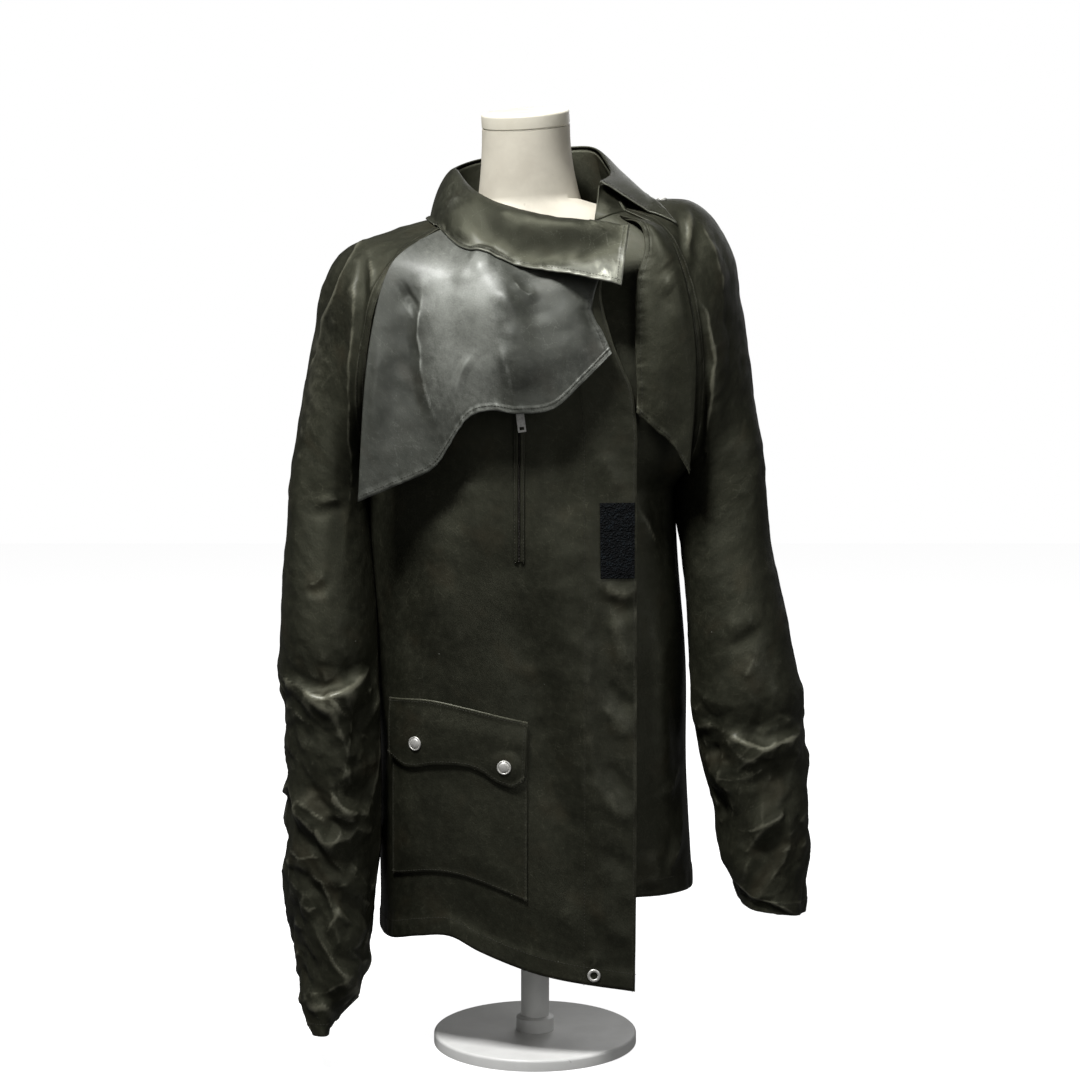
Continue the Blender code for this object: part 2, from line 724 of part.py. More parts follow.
def make_form(linen, cap_finish, painted):
    """The dress form with its neck and cap, and the pole and plate that it stands on."""
    rows = []
    for at in shares(FORM_STEPS):
        row = blend(FORM, at)
        ring = []
        for side in range(FORM_SIDES):
            angle = math.tau * side / FORM_SIDES
            across = row.wide * math.cos(angle)
            depth = row.deep * math.sin(angle)
            ring.append(Vector((row.x + across, row.y + depth, row.z + across * row.tilt)))
        rows.append(ring)
    foot = rows[-1]
    lean = Matrix.Rotation(NECK_LEAN, 3, "X") @ Matrix.Rotation(-NECK_TILT, 3, "Y")
    rim = []
    for side in range(FORM_SIDES):
        angle = math.tau * side / FORM_SIDES
        spoke = Vector((math.cos(angle), math.sin(angle), 0)) * CAP_RADIUS
        rim.append(CAP_CENTRE + lean @ spoke)
    for t in shares(NECK_ROWS)[1:]:
        ring = [low.lerp(high, t) for low, high in zip(foot, rim)]
        for point, low, high in zip(ring, foot, rim):
            point.x = low.x + (high.x - low.x) * t * (2 - t)
        rows.append(ring)
    mesh = grid_mesh("form_body", rows, closed=True)
    shape = bmesh.new()
    shape.from_mesh(mesh)
    bmesh.ops.holes_fill(shape, edges=shape.edges)
    bmesh.ops.recalc_face_normals(shape, faces=shape.faces)
    shape.to_mesh(mesh)
    shape.free()
    mesh.set_sharp_from_angle(angle=FORM_SHARP)
    linked("form_body", mesh, linen)
    axis = lean @ Vector((0, 0, 1))
    cap = (
        (0, CAP_HEIGHT),
        (CAP_RADIUS - 4, CAP_HEIGHT),
        (CAP_RADIUS - 1.2, CAP_HEIGHT - 1),
        (CAP_RADIUS, CAP_HEIGHT - 3.5),
        (CAP_RADIUS, 0),
        (0, 0),
    )
    cap_foot = CAP_CENTRE + axis * SEAT_GAP
    obj = turned("form_cap", cap, cap_finish, FORM_SIDES, cap_foot)
    obj.rotation_euler = lean.to_euler()
    pole = ((0, POLE_TOP), (POLE_RADIUS, POLE_TOP), (POLE_RADIUS, BASE_HEIGHT + SEAT_GAP))
    turned("stand_pole", (*pole, (0, BASE_HEIGHT + SEAT_GAP)), painted, 24)
    plate = (
        (0, BASE_HEIGHT),
        (BASE_RADIUS - BASE_BEVEL, BASE_HEIGHT),
        (BASE_RADIUS, BASE_HEIGHT - BASE_BEVEL),
        (BASE_RADIUS, 0),
        (0, 0),
    )
    turned("stand_base", plate, painted, 48)


def make_shell(waxed):
    """The fronts, back and sleeves. Returns the outer rows that other pieces lie on."""
    right = front_rows(SIDE_RIGHT, RAGLAN_RIGHT, EDGE_RIGHT, HEM_RIGHT)
    left = front_rows(SIDE_LEFT, RAGLAN_LEFT, EDGE_LEFT)
    cloth("front_right", right, waxed)
    cloth("front_left", left, waxed, flip=True)
    back = back_rows()
    cloth("back", back, waxed, flip=True)
    sleeves = []
    for side, raglan, tube, folds in (
        ("right", RAGLAN_RIGHT, TUBE_RIGHT, SLEEVE_RIGHT_FOLDS),
        ("left", RAGLAN_LEFT, TUBE_LEFT, SLEEVE_LEFT_FOLDS),
    ):
        for half, behind in (("front", False), ("back", True)):
            rows = sleeve_rows(raglan, tube, folds, behind)
            flip = (side == "right") == behind
            cloth(f"sleeve_{side}_{half}", rows, waxed, flip=not flip)
            sleeves.append((rows, not flip))
    return (right, False), (left, True), (back, True), sleeves


def make_zip(tree, waxed, brass, nickel):
    """The chest zip: two welts, the chain in their slot, the slider and its hanging pull."""
    for name, near in (("zip_welt_outer", -1), ("zip_welt_inner", 1)):
        edge = ZIP_X + near * ZIP_SLOT / 2
        outer = edge + near * WELT_WIDTH
        low, high = min(edge, outer), max(edge, outer)
        top = (FlatRow(0, low, ZIP_TOP_Z), FlatRow(1, high, ZIP_TOP_Z))
        bottom = (FlatRow(0, low, ZIP_BOTTOM_Z), FlatRow(1, high, ZIP_BOTTOM_Z))
        cloth(name, flat_rows(top, bottom, tree, SEAT_GAP, 1, 6), waxed, True, PATCH_CLOTH, True)
    half = CHAIN_WIDTH / 2
    top = (FlatRow(0, ZIP_X - half, ZIP_TOP_Z - 1), FlatRow(1, ZIP_X + half, ZIP_TOP_Z - 1))
    bottom = (
        FlatRow(0, ZIP_X - half, ZIP_BOTTOM_Z + 1),
        FlatRow(1, ZIP_X + half, ZIP_BOTTOM_Z + 1),
    )
    cloth("zip_chain", flat_rows(top, bottom, tree, SEAT_GAP, 1, 6), brass, True, CHAIN_THICK, True)
    # The slider rides over the welts, and a bridge across its front holds the pull's crossbar.
    wide, deep, tall = SLIDER_SIZE
    slider_z = ZIP_TOP_Z - tall / 2 - 1
    seat = on_panel(tree, ZIP_X, slider_z, 0)
    centre = seat - Vector((0, PATCH_CLOTH + 3 * SEAT_GAP + deep / 2, 0))
    slider = box("zip_slider", SLIDER_SIZE, centre, nickel)
    face = centre - Vector((0, deep / 2, 0))
    bridge_out = BRIDGE_SPACE + BRIDGE_BAR
    arm = (BRIDGE_WIDTH, bridge_out + BRIDGE_ROOT, BRIDGE_BAR)
    arm_y = (BRIDGE_ROOT - bridge_out) / 2
    for name, size, shift in (
        ("bridge_bar", (BRIDGE_WIDTH, BRIDGE_BAR, BRIDGE_TALL), (0, BRIDGE_BAR / 2 - bridge_out, 0)),
        ("bridge_head", arm, (0, arm_y, BRIDGE_FOOT_Z)),
        ("bridge_foot", arm, (0, arm_y, -BRIDGE_FOOT_Z)),
    ):
        helper(box(name, size, face + Vector(shift), nickel))
        join = slider.modifiers.new(name, "BOOLEAN")
        join.operation = "UNION"
        join.object = bpy.data.objects[name]
    return face


def helper(obj):
    """Moves an object that only shapes another one out of the part's collection."""
    obj.hide_render = True
    obj.display_type = "WIRE"
    bpy.data.collections["waxed_jacket"].objects.unlink(obj)
    bpy.data.collections["cutters"].objects.link(obj)


def make_pull(face, nickel):
    """The hanging pull: a flat tab with an eye round the slider's bridge and a slot at its foot."""
    hinge = face + Vector((0, -BRIDGE_SPACE / 2, PULL_HINGE_Z))
    head = PULL_BAR / 2
    tab = box("zip_pull", (PULL_WIDTH, PULL_BAR, PULL_LENGTH), hinge, nickel)
    tab.data.transform(Matrix.Translation((0, 0, (head - PULL_LENGTH / 2) * MM)))
    tab.rotation_euler = (0, PULL_TILT, 0)
    for name, wide, top, foot in (
        ("pull_eye", PULL_EYE_WIDTH, -head, -PULL_EYE_TALL),
        ("pull_slot", PULL_SLOT_WIDTH, PULL_SLOT_TOP, PULL_SLOT_TOP - PULL_SLOT_TALL),
    ):
        cutter = box(name, (wide, 3 * PULL_BAR, top - foot), hinge, nickel)
        cutter.data.transform(Matrix.Translation((0, 0, (top + foot) / 2 * MM)))
        cutter.rotation_euler = tab.rotation_euler
        helper(cutter)
        cut = tab.modifiers.new(name, "BOOLEAN")
        cut.object = cutter


def make_buttons(tree, lift, nickel):
    """The two snap caps on the pocket flap."""
    dome = (
        (0, SNAP_HEIGHT),
        (3.2, SNAP_HEIGHT - 0.25),
        (5.2, SNAP_HEIGHT - 0.9),
        (6.0, 1.1),
        (6.6, 1.35),
        (SNAP_RADIUS, 0.9),
        (SNAP_RADIUS, 0),
        (0, 0),
    )
    for name, x, z in SNAPS:
        spot, normal = seen_spot(tree, x, z)
        turned(name, dome, nickel, 20, spot + normal * lift, normal)


def make_trim(front_tree, shoulder_tree, nickel):
    """The eyelet ring near the front corner of the hem, and the stud on the left shoulder."""
    spot, normal = seen_spot(front_tree, *EYELET_PLACE)
    inner, outer = EYELET_RADIUS - EYELET_WIRE, EYELET_RADIUS + EYELET_WIRE
    ring = (
        (inner, EYELET_HEIGHT / 2),
        (EYELET_RADIUS, EYELET_HEIGHT),
        (outer, EYELET_HEIGHT / 2),
        (outer, 0),
        (inner, 0),
        (inner, EYELET_HEIGHT / 2),
    )
    turned("eyelet", ring, nickel, 20, spot + normal * PATCH_LIFT, normal)
    over = Vector((*STUD_PLACE, BEYOND))
    spot, normal, _, _ = shoulder_tree.ray_cast(over, Vector((0, 0, -1)))
    stud = (
        (0, STUD_HEIGHT),
        (0.6 * STUD_RADIUS, 0.85 * STUD_HEIGHT),
        (STUD_RADIUS, 0.4 * STUD_HEIGHT),
        (STUD_RADIUS, 0),
        (0, 0),
    )
    turned("shoulder_stud", stud, nickel, 16, spot + normal * PATCH_LIFT, normal)


def main():
    for obj in list(bpy.data.objects):
        bpy.data.objects.remove(obj)
    for name in ("waxed_jacket", "cutters"):
        bpy.context.scene.collection.children.link(bpy.data.collections.new(name))

    waxed = material("waxed_cotton", (0.05, 0.05, 0.035), 0.5)
    linen = material("form_linen", (0.66, 0.61, 0.52), 0.8)
    cap_finish = material("form_cap_board", (0.84, 0.8, 0.68), 0.7)
    painted = material("painted_steel", (0.8, 0.8, 0.78), 0.5)
    nickel = material("nickel", (0.62, 0.6, 0.56), 0.35, 1.0)
    brass = material("dark_zip_metal", (0.12, 0.1, 0.08), 0.4, 1.0)
    hook = material("hook_and_loop", (0.006, 0.008, 0.012), 0.9)

    make_form(linen, cap_finish, painted)
    right, left, back, sleeves = make_shell(waxed)
    front_tree = tree_of([right])
    left_tree = tree_of([left, *sleeves])
    right_tree = tree_of([right, *sleeves])

    rows = flap_rows(
        lambda v: place(FLAP_RIGHT_FRONT, v),
        lambda v: place(FLAP_RIGHT_SEAM, v),
        lambda u: place(FLAP_RIGHT_HEM, 1 - u),
        lambda u: front_point(SIDE_RIGHT, RAGLAN_RIGHT, EDGE_RIGHT, None, 1 - u, 2),
        right_tree,
        5.0,
        FLAP_RIGHT_FOLDS,
    )
    cloth("storm_flap_right", rows, waxed)
    rows_left = flap_rows(
        lambda v: place(FLAP_LEFT_FRONT, v),
        lambda v: place(FLAP_LEFT_SEAM, v),
        lambda u: place(FLAP_LEFT_HEM, u),
        lambda u: front_point(SIDE_LEFT, RAGLAN_LEFT, EDGE_LEFT, None, 1 - u, 2),
        left_tree,
        3.0,
    )
    cloth("storm_flap_left", rows_left, waxed, flip=True)

    shoulders = tree_of([right, left, back, *sleeves, (rows, False), (rows_left, True)])
    neck_edge = neckline(right[0], left[0], back[0], sleeves)
    cloth("collar_stand", stand_rows(neck_edge), waxed, thick=COLLAR_CLOTH)
    cloth("collar_fall", fall_rows(shoulders), waxed, thick=COLLAR_CLOTH)

    pocket = flat_rows(POCKET_TOP, POCKET_BOTTOM, front_tree, PATCH_LIFT, 17, 6)
    cloth("pocket", pocket, waxed, True, PATCH_CLOTH, True)
    flap_lift = PATCH_LIFT + PATCH_CLOTH + 2 * SEAT_GAP
    flap = flat_rows(POCKET_FLAP_TOP, POCKET_FLAP_BOTTOM, front_tree, flap_lift, 17, 3)
    cloth("pocket_flap", flap, waxed, True, PATCH_CLOTH, True)
    hook_rows = flat_rows(HOOK_TOP, HOOK_BOTTOM, front_tree, SEAT_GAP, 3, 4)
    cloth("hook_tape", hook_rows, hook, True, PATCH_CLOTH, True)
    make_buttons(front_tree, flap_lift + PATCH_CLOTH + SEAT_GAP, nickel)
    make_trim(front_tree, tree_of(sleeves), nickel)
    face = make_zip(front_tree, waxed, brass, nickel)
    make_pull(face, nickel)


main()
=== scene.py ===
"""The looks of a short asymmetric jacket of waxed cotton, unfastened on a limbless dress form.

Tables and sizes are in millimetres, and meshes in metres. +Z is up and the front faces -Y, so
the wearer's right side is at -X. A level of 0 is the hem, 1 the armpit and 2 the neckline; on
a sleeve 0 is the neckline and 2 the cuff.
"""

import json
import logging
import math
from dataclasses import dataclass, field, replace
from enum import Enum
from types import SimpleNamespace
from typing import Any, Callable, Iterable, Sequence

import bmesh
import bpy
import numpy as np
from mathutils import Matrix, Vector, noise
from mathutils.bvhtree import BVHTree
from mathutils.geometry import delaunay_2d_cdt

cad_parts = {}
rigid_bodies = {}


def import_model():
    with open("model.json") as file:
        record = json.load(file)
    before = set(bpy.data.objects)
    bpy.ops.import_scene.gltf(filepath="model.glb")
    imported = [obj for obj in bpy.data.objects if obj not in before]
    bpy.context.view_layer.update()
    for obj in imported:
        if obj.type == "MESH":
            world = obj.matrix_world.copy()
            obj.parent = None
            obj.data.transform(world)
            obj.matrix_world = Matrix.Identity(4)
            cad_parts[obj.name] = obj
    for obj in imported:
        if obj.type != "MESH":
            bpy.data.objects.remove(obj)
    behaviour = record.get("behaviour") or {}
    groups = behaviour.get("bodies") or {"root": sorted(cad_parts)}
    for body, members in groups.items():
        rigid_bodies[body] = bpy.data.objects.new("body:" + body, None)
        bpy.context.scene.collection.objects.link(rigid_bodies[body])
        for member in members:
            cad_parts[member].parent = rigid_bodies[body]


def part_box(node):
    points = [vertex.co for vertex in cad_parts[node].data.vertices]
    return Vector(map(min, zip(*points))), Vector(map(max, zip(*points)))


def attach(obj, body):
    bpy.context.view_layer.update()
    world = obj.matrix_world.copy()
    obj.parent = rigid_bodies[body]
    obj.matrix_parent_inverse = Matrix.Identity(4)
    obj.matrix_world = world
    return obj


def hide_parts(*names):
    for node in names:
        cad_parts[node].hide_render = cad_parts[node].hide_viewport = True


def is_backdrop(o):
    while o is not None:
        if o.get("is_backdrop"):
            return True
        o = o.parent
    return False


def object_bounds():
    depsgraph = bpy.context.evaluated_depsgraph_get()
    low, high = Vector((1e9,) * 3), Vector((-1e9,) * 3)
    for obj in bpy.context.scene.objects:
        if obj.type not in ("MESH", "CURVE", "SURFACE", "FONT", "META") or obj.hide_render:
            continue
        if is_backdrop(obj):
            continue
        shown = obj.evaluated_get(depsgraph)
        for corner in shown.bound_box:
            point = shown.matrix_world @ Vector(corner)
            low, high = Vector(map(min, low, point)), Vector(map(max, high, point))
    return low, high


LOG = logging.getLogger("waxed_jacket")
MM = 0.001
COAT = "coat_on_form"
PULL = "zip_pull"
CLOTH_MAP = "cloth"
# The wear map holds worn crests and edges, and also painted sheen and painted shade.
WEAR_AND_LIGHT_MAP = "wear"

# Walls of cloth, and how far pieces lie over each other.
CLOTH = 1.4
COLLAR_CLOTH = 1.8
PATCH_CLOTH = 1.1
PATCH_LIFT = 0.8
SEAT_GAP = 0.35
TRIM_LIFT = 0.1
FORM_ROOM = 0.6
SLEEVE_ROOM = 0.4
BACK_ROOM = 1.2
CLEAR_REACH = 30.0
BEYOND = 1500.0

# Heights that tell parts of the coat apart.
SHOULDER = 780.0
ARMPIT = 600.0
UNDER_ARMPIT = 590.0

# How the back's seam differs from the front's, and how rows are spaced and pulled.
BACK_DEPTH = 0.88
BACK_NECK_RISE = 12.0
BACK_NECK_INSET = 0.16
ELLIPSE_PULL = 4.0 / 3.0
NECK_CROWDING = 1.5
RAGLAN_ROWS = 96

# How far rows of stitches lie from an edge, or from the inner side of a turned one.
FLAP_STITCH = 1.6
HEM_STITCH = 2.0
RAGLAN_STITCHES = (2.0, 7.5)
CUFF_STITCH = 12.0

# How far crests wear pale, from 0 to 1, and how fine and steep a crest is.
BODY_WEAR = 0.28
SLEEVE_WEAR = 0.85
CREST_BLUR = 4
CREST_SLOPE = 0.4


class Table:
    """A curve given as rows of named columns, read between rows on a smooth line."""

    def __init__(self, names: str, *rows: Sequence[float]) -> None:
        """Keeps the rows, whose first column is the place that they are read by."""
        self.names = names.split()
        self.rows = np.array(rows, float)

    def at(self, place: Any) -> SimpleNamespace:
        """Reads the table.

        Args:
            place: one place or an array of them, on the scale of the first column.

        Returns:
            Each column by name, in the shape of place.
        """
        rows, last = self.rows, len(self.rows) - 1
        place = np.asarray(place, float)
        low = np.clip(np.searchsorted(rows[1:, 0], place), 0, last - 1)
        before, high, after = np.maximum(low - 1, 0), low + 1, np.minimum(low + 2, last)
        span = rows[high, 0] - rows[low, 0]
        t = ((place - rows[low, 0]) / span)[..., None]
        leave = (rows[high] - rows[before]) * (span / (rows[high, 0] - rows[before, 0]))[..., None]
        arrive = (rows[after] - rows[low]) * (span / (rows[after, 0] - rows[low, 0]))[..., None]
        step = rows[high] - rows[low]
        settle = leave + arrive - 2 * step
        values = rows[low] + t * (leave + t * (step - leave - settle + t * settle))
        return SimpleNamespace(**{name: values[..., i] for i, name in enumerate(self.names)})

    def points(self, place: Any) -> np.ndarray:
        """The columns x, y and z as points."""
        row = self.at(place)
        return xyz(row.x, row.y, row.z)


# The seam from armpit to neck. The body and sleeve columns are the pulls that shape the rows
# leaving the seam, and the over columns are the overarm line that the sleeve reaches.
RAGLAN_RIGHT = Table(
    "at x y z body_x body_y over_x over_y over_z sleeve_x sleeve_y over_pull",
    (0.00, -177, 0, 606, 0, -100, -253, 0, 606, 0, -88, 88),
    (0.15, -176, -52, 640, 8, -52, -248, 0, 650, -6, -46, 80),
    (0.35, -172, -86, 694, 26, -26, -240, 0, 700, -16, -10, 66),
    (0.55, -166, -98, 742, 34, -12, -229, 0, 752, -20, 4, 56),
    (0.75, -154, -100, 792, 36, -8, -220, 0, 806, -22, 8, 50),
    (0.88, -128, -84, 834, 34, -10, -196, 2, 842, -22, 14, 44),
    (0.95, -104, -64, 853, 26, -14, -146, 2, 860, -16, 16, 34),
    (1.00, -84, -54, 864, 20, -14, -90, 0, 876, -4, 16, 18),
)
RAGLAN_LEFT = Table(
    "at x y z body_x body_y over_x over_y over_z sleeve_x sleeve_y over_pull",
    (0.00, 146, 0, 594, 0, -96, 240, 0, 596, 0, -86, 86),
    (0.15, 159, -50, 622, -8, -50, 236, 0, 640, 6, -44, 80),
    (0.35, 161, -86, 690, -24, -26, 229, 0, 690, 16, -10, 66),
    (0.55, 161, -98, 736, -32, -12, 222, 0, 738, 20, 4, 56),
    (0.75, 154, -98, 782, -36, -8, 213, 0, 792, 20, 8, 50),
    (0.88, 141, -86, 830, -34, -8, 198, 2, 850, 18, 12, 44),
    (0.95, 122, -66, 860, -26, -12, 160, 3, 891, 14, 16, 34),
    (1.00, 92, -50, 876, -18, -14, 98, 4, 891, 4, 16, 18),
)

# The side seam from hem to armpit, and how far the rows run straight forward from it.
SIDE_RIGHT = Table(
    "at x z pull",
    (0.00, -164, 126, 92),
    (0.35, -165, 290, 98),
    (0.60, -169, 405, 104),
    (0.85, -173, 540, 104),
    (1.00, -177, 606, 100),
)
SIDE_LEFT = Table(
    "at x z pull",
    (0.00, 167, 172, 88),
    (0.30, 160, 300, 94),
    (0.60, 159, 405, 98),
    (0.85, 150, 520, 98),
    (1.00, 146, 594, 96),
)

# The front edges from hem to neckline; reach and bow pull the rows that arrive there.
EDGE_RIGHT = Table(
    "at x y z reach bow",
    (0.00, 102, -112, 85, 165, 14),
    (0.20, 103, -111, 190, 165, 14),
    (0.60, 103, -109, 400, 165, 14),
    (1.00, 102, -109, 606, 160, 14),
    (1.20, 102, -111, 655, 155, 12),
    (1.35, 97, -114, 696, 150, 10),
    (1.45, 87, -117, 720, 140, 8),
    (1.55, 77, -119, 745, 130, 8),
    (1.75, 66, -116, 790, 110, 8),
    (2.00, 72, -104, 826, 90, 6),
)
EDGE_LEFT = Table(
    "at x y z reach bow",
    (0.00, -80, -98, 178, -130, 5),
    (1.00, -60, -98, 596, -120, 5),
    (1.35, -24, -97, 690, -110, 5),
    (1.60, 14, -92, 760, -90, 5),
    (1.85, 46, -76, 826, -50, 4),
    (2.00, 60, -60, 866, -14, 2),
)

# The hem of the right front dips unevenly over the straight line from seam to edge.
HEM_RIGHT = Table(
    "at lift",
    (0.00, 0),
    (0.22, 9),
    (0.40, 26),
    (0.52, 34),
    (0.62, 24),
    (0.80, 8),
    (1.00, 0),
)

# The middle of the back.
BACK_MIDDLE = Table(
    "at x y z reach",
    (0.00, 0, 108, 152, 92),
    (1.00, -8, 112, 600, 92),
    (1.50, -4, 106, 742, 90),
    (1.80, 0, 88, 832, 72),
    (2.00, -3, 64, 899, 36),
)

# A sleeve from armpit to cuff: outer and inner line, middle and half depth.
TUBE_RIGHT = Table(
    "at over_x over_z under_x under_z y depth",
    (1.00, -253, 606, -177, 606, 0, 66),
    (1.12, -259, 540, -173, 540, -24, 68),
    (1.24, -263, 471, -167, 471, -40, 68),
    (1.34, -263, 415, -165, 415, -48, 67),
    (1.44, -260, 358, -163, 361, -52, 65),
    (1.54, -257, 304, -162, 304, -54, 63),
    (1.67, -259, 230, -163, 230, -54, 62),
    (1.76, -257, 184, -166, 184, -54, 61),
    (1.87, -253, 124, -172, 128, -53, 61),
    (1.93, -249, 90, -175, 94, -51, 62),
    (1.965, -241, 65, -188, 70, -49, 63),
    (2.00, -227, 39, -206, 39, -46, 64),
)
TUBE_LEFT = Table(
    "at over_x over_z under_x under_z y depth",
    (1.00, 240, 596, 146, 594, 0, 64.5),
    (1.15, 247, 535, 152, 532, -14, 67),
    (1.30, 262, 467, 158, 467, -27, 67),
    (1.42, 270, 410, 160, 412, -36, 66),
    (1.53, 280, 360, 164, 360, -41, 64),
    (1.64, 282, 306, 174, 306, -43, 62),
    (1.72, 282.5, 262, 185, 268, -45, 60),
    (1.84, 284, 205, 193, 213, -45, 58),
    (1.90, 284, 184, 203, 192, -45, 56),
    (2.00, 282, 156, 212, 169, -45, 54),
)

# The outlines of the two storm flaps.
FLAP_RIGHT_SEAM = Table(
    "at x y z",
    (0.00, -88, -61, 858),
    (0.08, -100, -67, 855),
    (0.22, -130, -91, 836),
    (0.32, -145, -101, 818),
    (0.47, -158, -107, 777),
    (0.70, -169, -112, 706),
    (1.00, -177, -112, 585),
)
FLAP_RIGHT_FRONT = Table(
    "at x y z",
    (0.00, 68, -108, 820),
    (0.40, 57, -122, 778),
    (0.70, 68, -127, 752),
    (1.00, 76, -130, 733),
)
FLAP_RIGHT_HEM = Table(
    "at x y z",
    (0.00, -177, -112, 585),
    (0.16, -135, -120, 603),
    (0.30, -100, -127, 620),
    (0.38, -84, -131, 643),
    (0.46, -66, -136, 669),
    (0.55, -44, -140, 677),
    (0.65, -16, -142, 674),
    (0.78, 19, -141, 679),
    (0.89, 48, -137, 705),
    (1.00, 76, -130, 733),
)
FLAP_LEFT_SEAM = Table(
    "at x y z",
    (0.00, 96, -57, 872),
    (0.14, 128, -76, 859),
    (0.28, 144, -93, 827),
    (0.46, 156, -104, 778),
    (0.62, 161, -105, 736),
    (0.78, 161, -104, 694),
    (1.00, 155, -104, 612),
)
FLAP_LEFT_FRONT = Table(
    "at x y z",
    (0.00, 86, -60, 869),
    (0.10, 105, -80, 862),
    (0.20, 110, -93, 838),
    (0.36, 102, -101, 806),
    (0.60, 100, -110, 745),
    (0.85, 102, -114, 695),
    (1.00, 101, -114, 674),
)
FLAP_LEFT_HEM = Table(
    "at x y z",
    (0.00, 101, -114, 674),
    (0.35, 121, -113, 656),
    (0.62, 137, -110, 642),
    (0.85, 151, -106, 620),
    (1.00, 155, -104, 612),
)

# The collar round the neckline: its roll, its free edge, and how far the fall swells.
COLLAR = Table(
    "at roll_x roll_y roll_z fall_x fall_y fall_z swell",
    (0.00, 94, -109, 860, 85, -141, 798, 2),
    (0.06, 57, -105, 863, 48, -137, 808, 4),
    (0.12, 19, -95, 865, 19, -131, 814, 8),
    (0.18, -23, -76, 876, -28, -118, 823, 12),
    (0.24, -53, -47, 891, -68, -94, 835, 14),
    (0.30, -69, -20, 904, -94, -57, 855, 14),
    (0.39, -80, 14, 920, -107, -12, 864, 12),
    (0.47, -82, 42, 926, -102, 44, 870, 10),
    (0.55, -58, 60, 936, -64, 76, 869, 9),
    (0.62, -6, 67, 944, -4, 88, 873, 9),
    (0.69, 38, 62, 949, 50, 84, 882, 9),
    (0.75, 62, 52, 947, 90, 66, 892, 9),
    (0.82, 74, 30, 931, 111, 34, 895, 8),
    (0.90, 78, -4, 916, 121, -17, 888, 6),
    (1.00, 66, -44, 905, 139, -52, 858, 4),
)

# The pocket, its flap and the hook-and-loop square: edges seen from the front.
POCKET_TOP = Table("at x z", (0, -145, 372), (1, -8, 352))
POCKET_BOTTOM = Table(
    "at x z",
    (0.0, -146, 196),
    (0.3, -104, 205),
    (0.6, -66, 201),
    (1.0, -8, 179),
)
POCKET_FLAP_TOP = Table(
    "at x z",
    (0.0, -146, 381),
    (0.3, -106, 383),
    (0.6, -66, 376),
    (1.0, -8, 362),
)
POCKET_FLAP_BOTTOM = Table(
    "at x z",
    (0.00, -146, 322),
    (0.12, -128, 312),
    (0.35, -97, 317),
    (0.62, -62, 315),
    (0.90, -24, 296),
    (1.00, -12, 303),
)
HOOK_TOP = Table("at x z", (0, 65, 584), (1, 100, 584))
HOOK_BOTTOM = Table("at x z", (0, 66, 508), (1, 100, 508))

# The dress form from its underside to the foot of the neck.
FORM = Table(
    "at x y z wide deep tilt",
    (0.00, 0, 0, 200, 126, 74, 0.0),
    (0.06, 0, 0, 206, 138, 82, 0.0),
    (0.16, 0, 0, 270, 142, 86, 0.0),
    (0.30, -2, 0, 380, 132, 82, 0.0),
    (0.42, -4, 0, 480, 118, 78, 0.01),
    (0.55, -6, 0, 590, 128, 84, 0.03),
    (0.68, -7, 0, 690, 140, 86, 0.06),
    (0.78, -7, 0, 780, 146, 82, 0.09),
    (0.85, -7, 0, 836, 145, 72, 0.10),
    (0.90, -7, 0, 861, 132, 62, 0.096),
    (0.94, -7, 0, 873, 106, 56, 0.08),
    (0.97, -6, 0, 880, 76, 53, 0.065),
    (1.00, -6, 0, 888, 54, 51, 0.06),
)


class Fold(Enum):
    """How a crease is shaped across its line."""

    SOFT = "a rounded roll"
    CRISP = "a sharp crest with long sides"
    LAP = "steep on the right-hand side of its line"


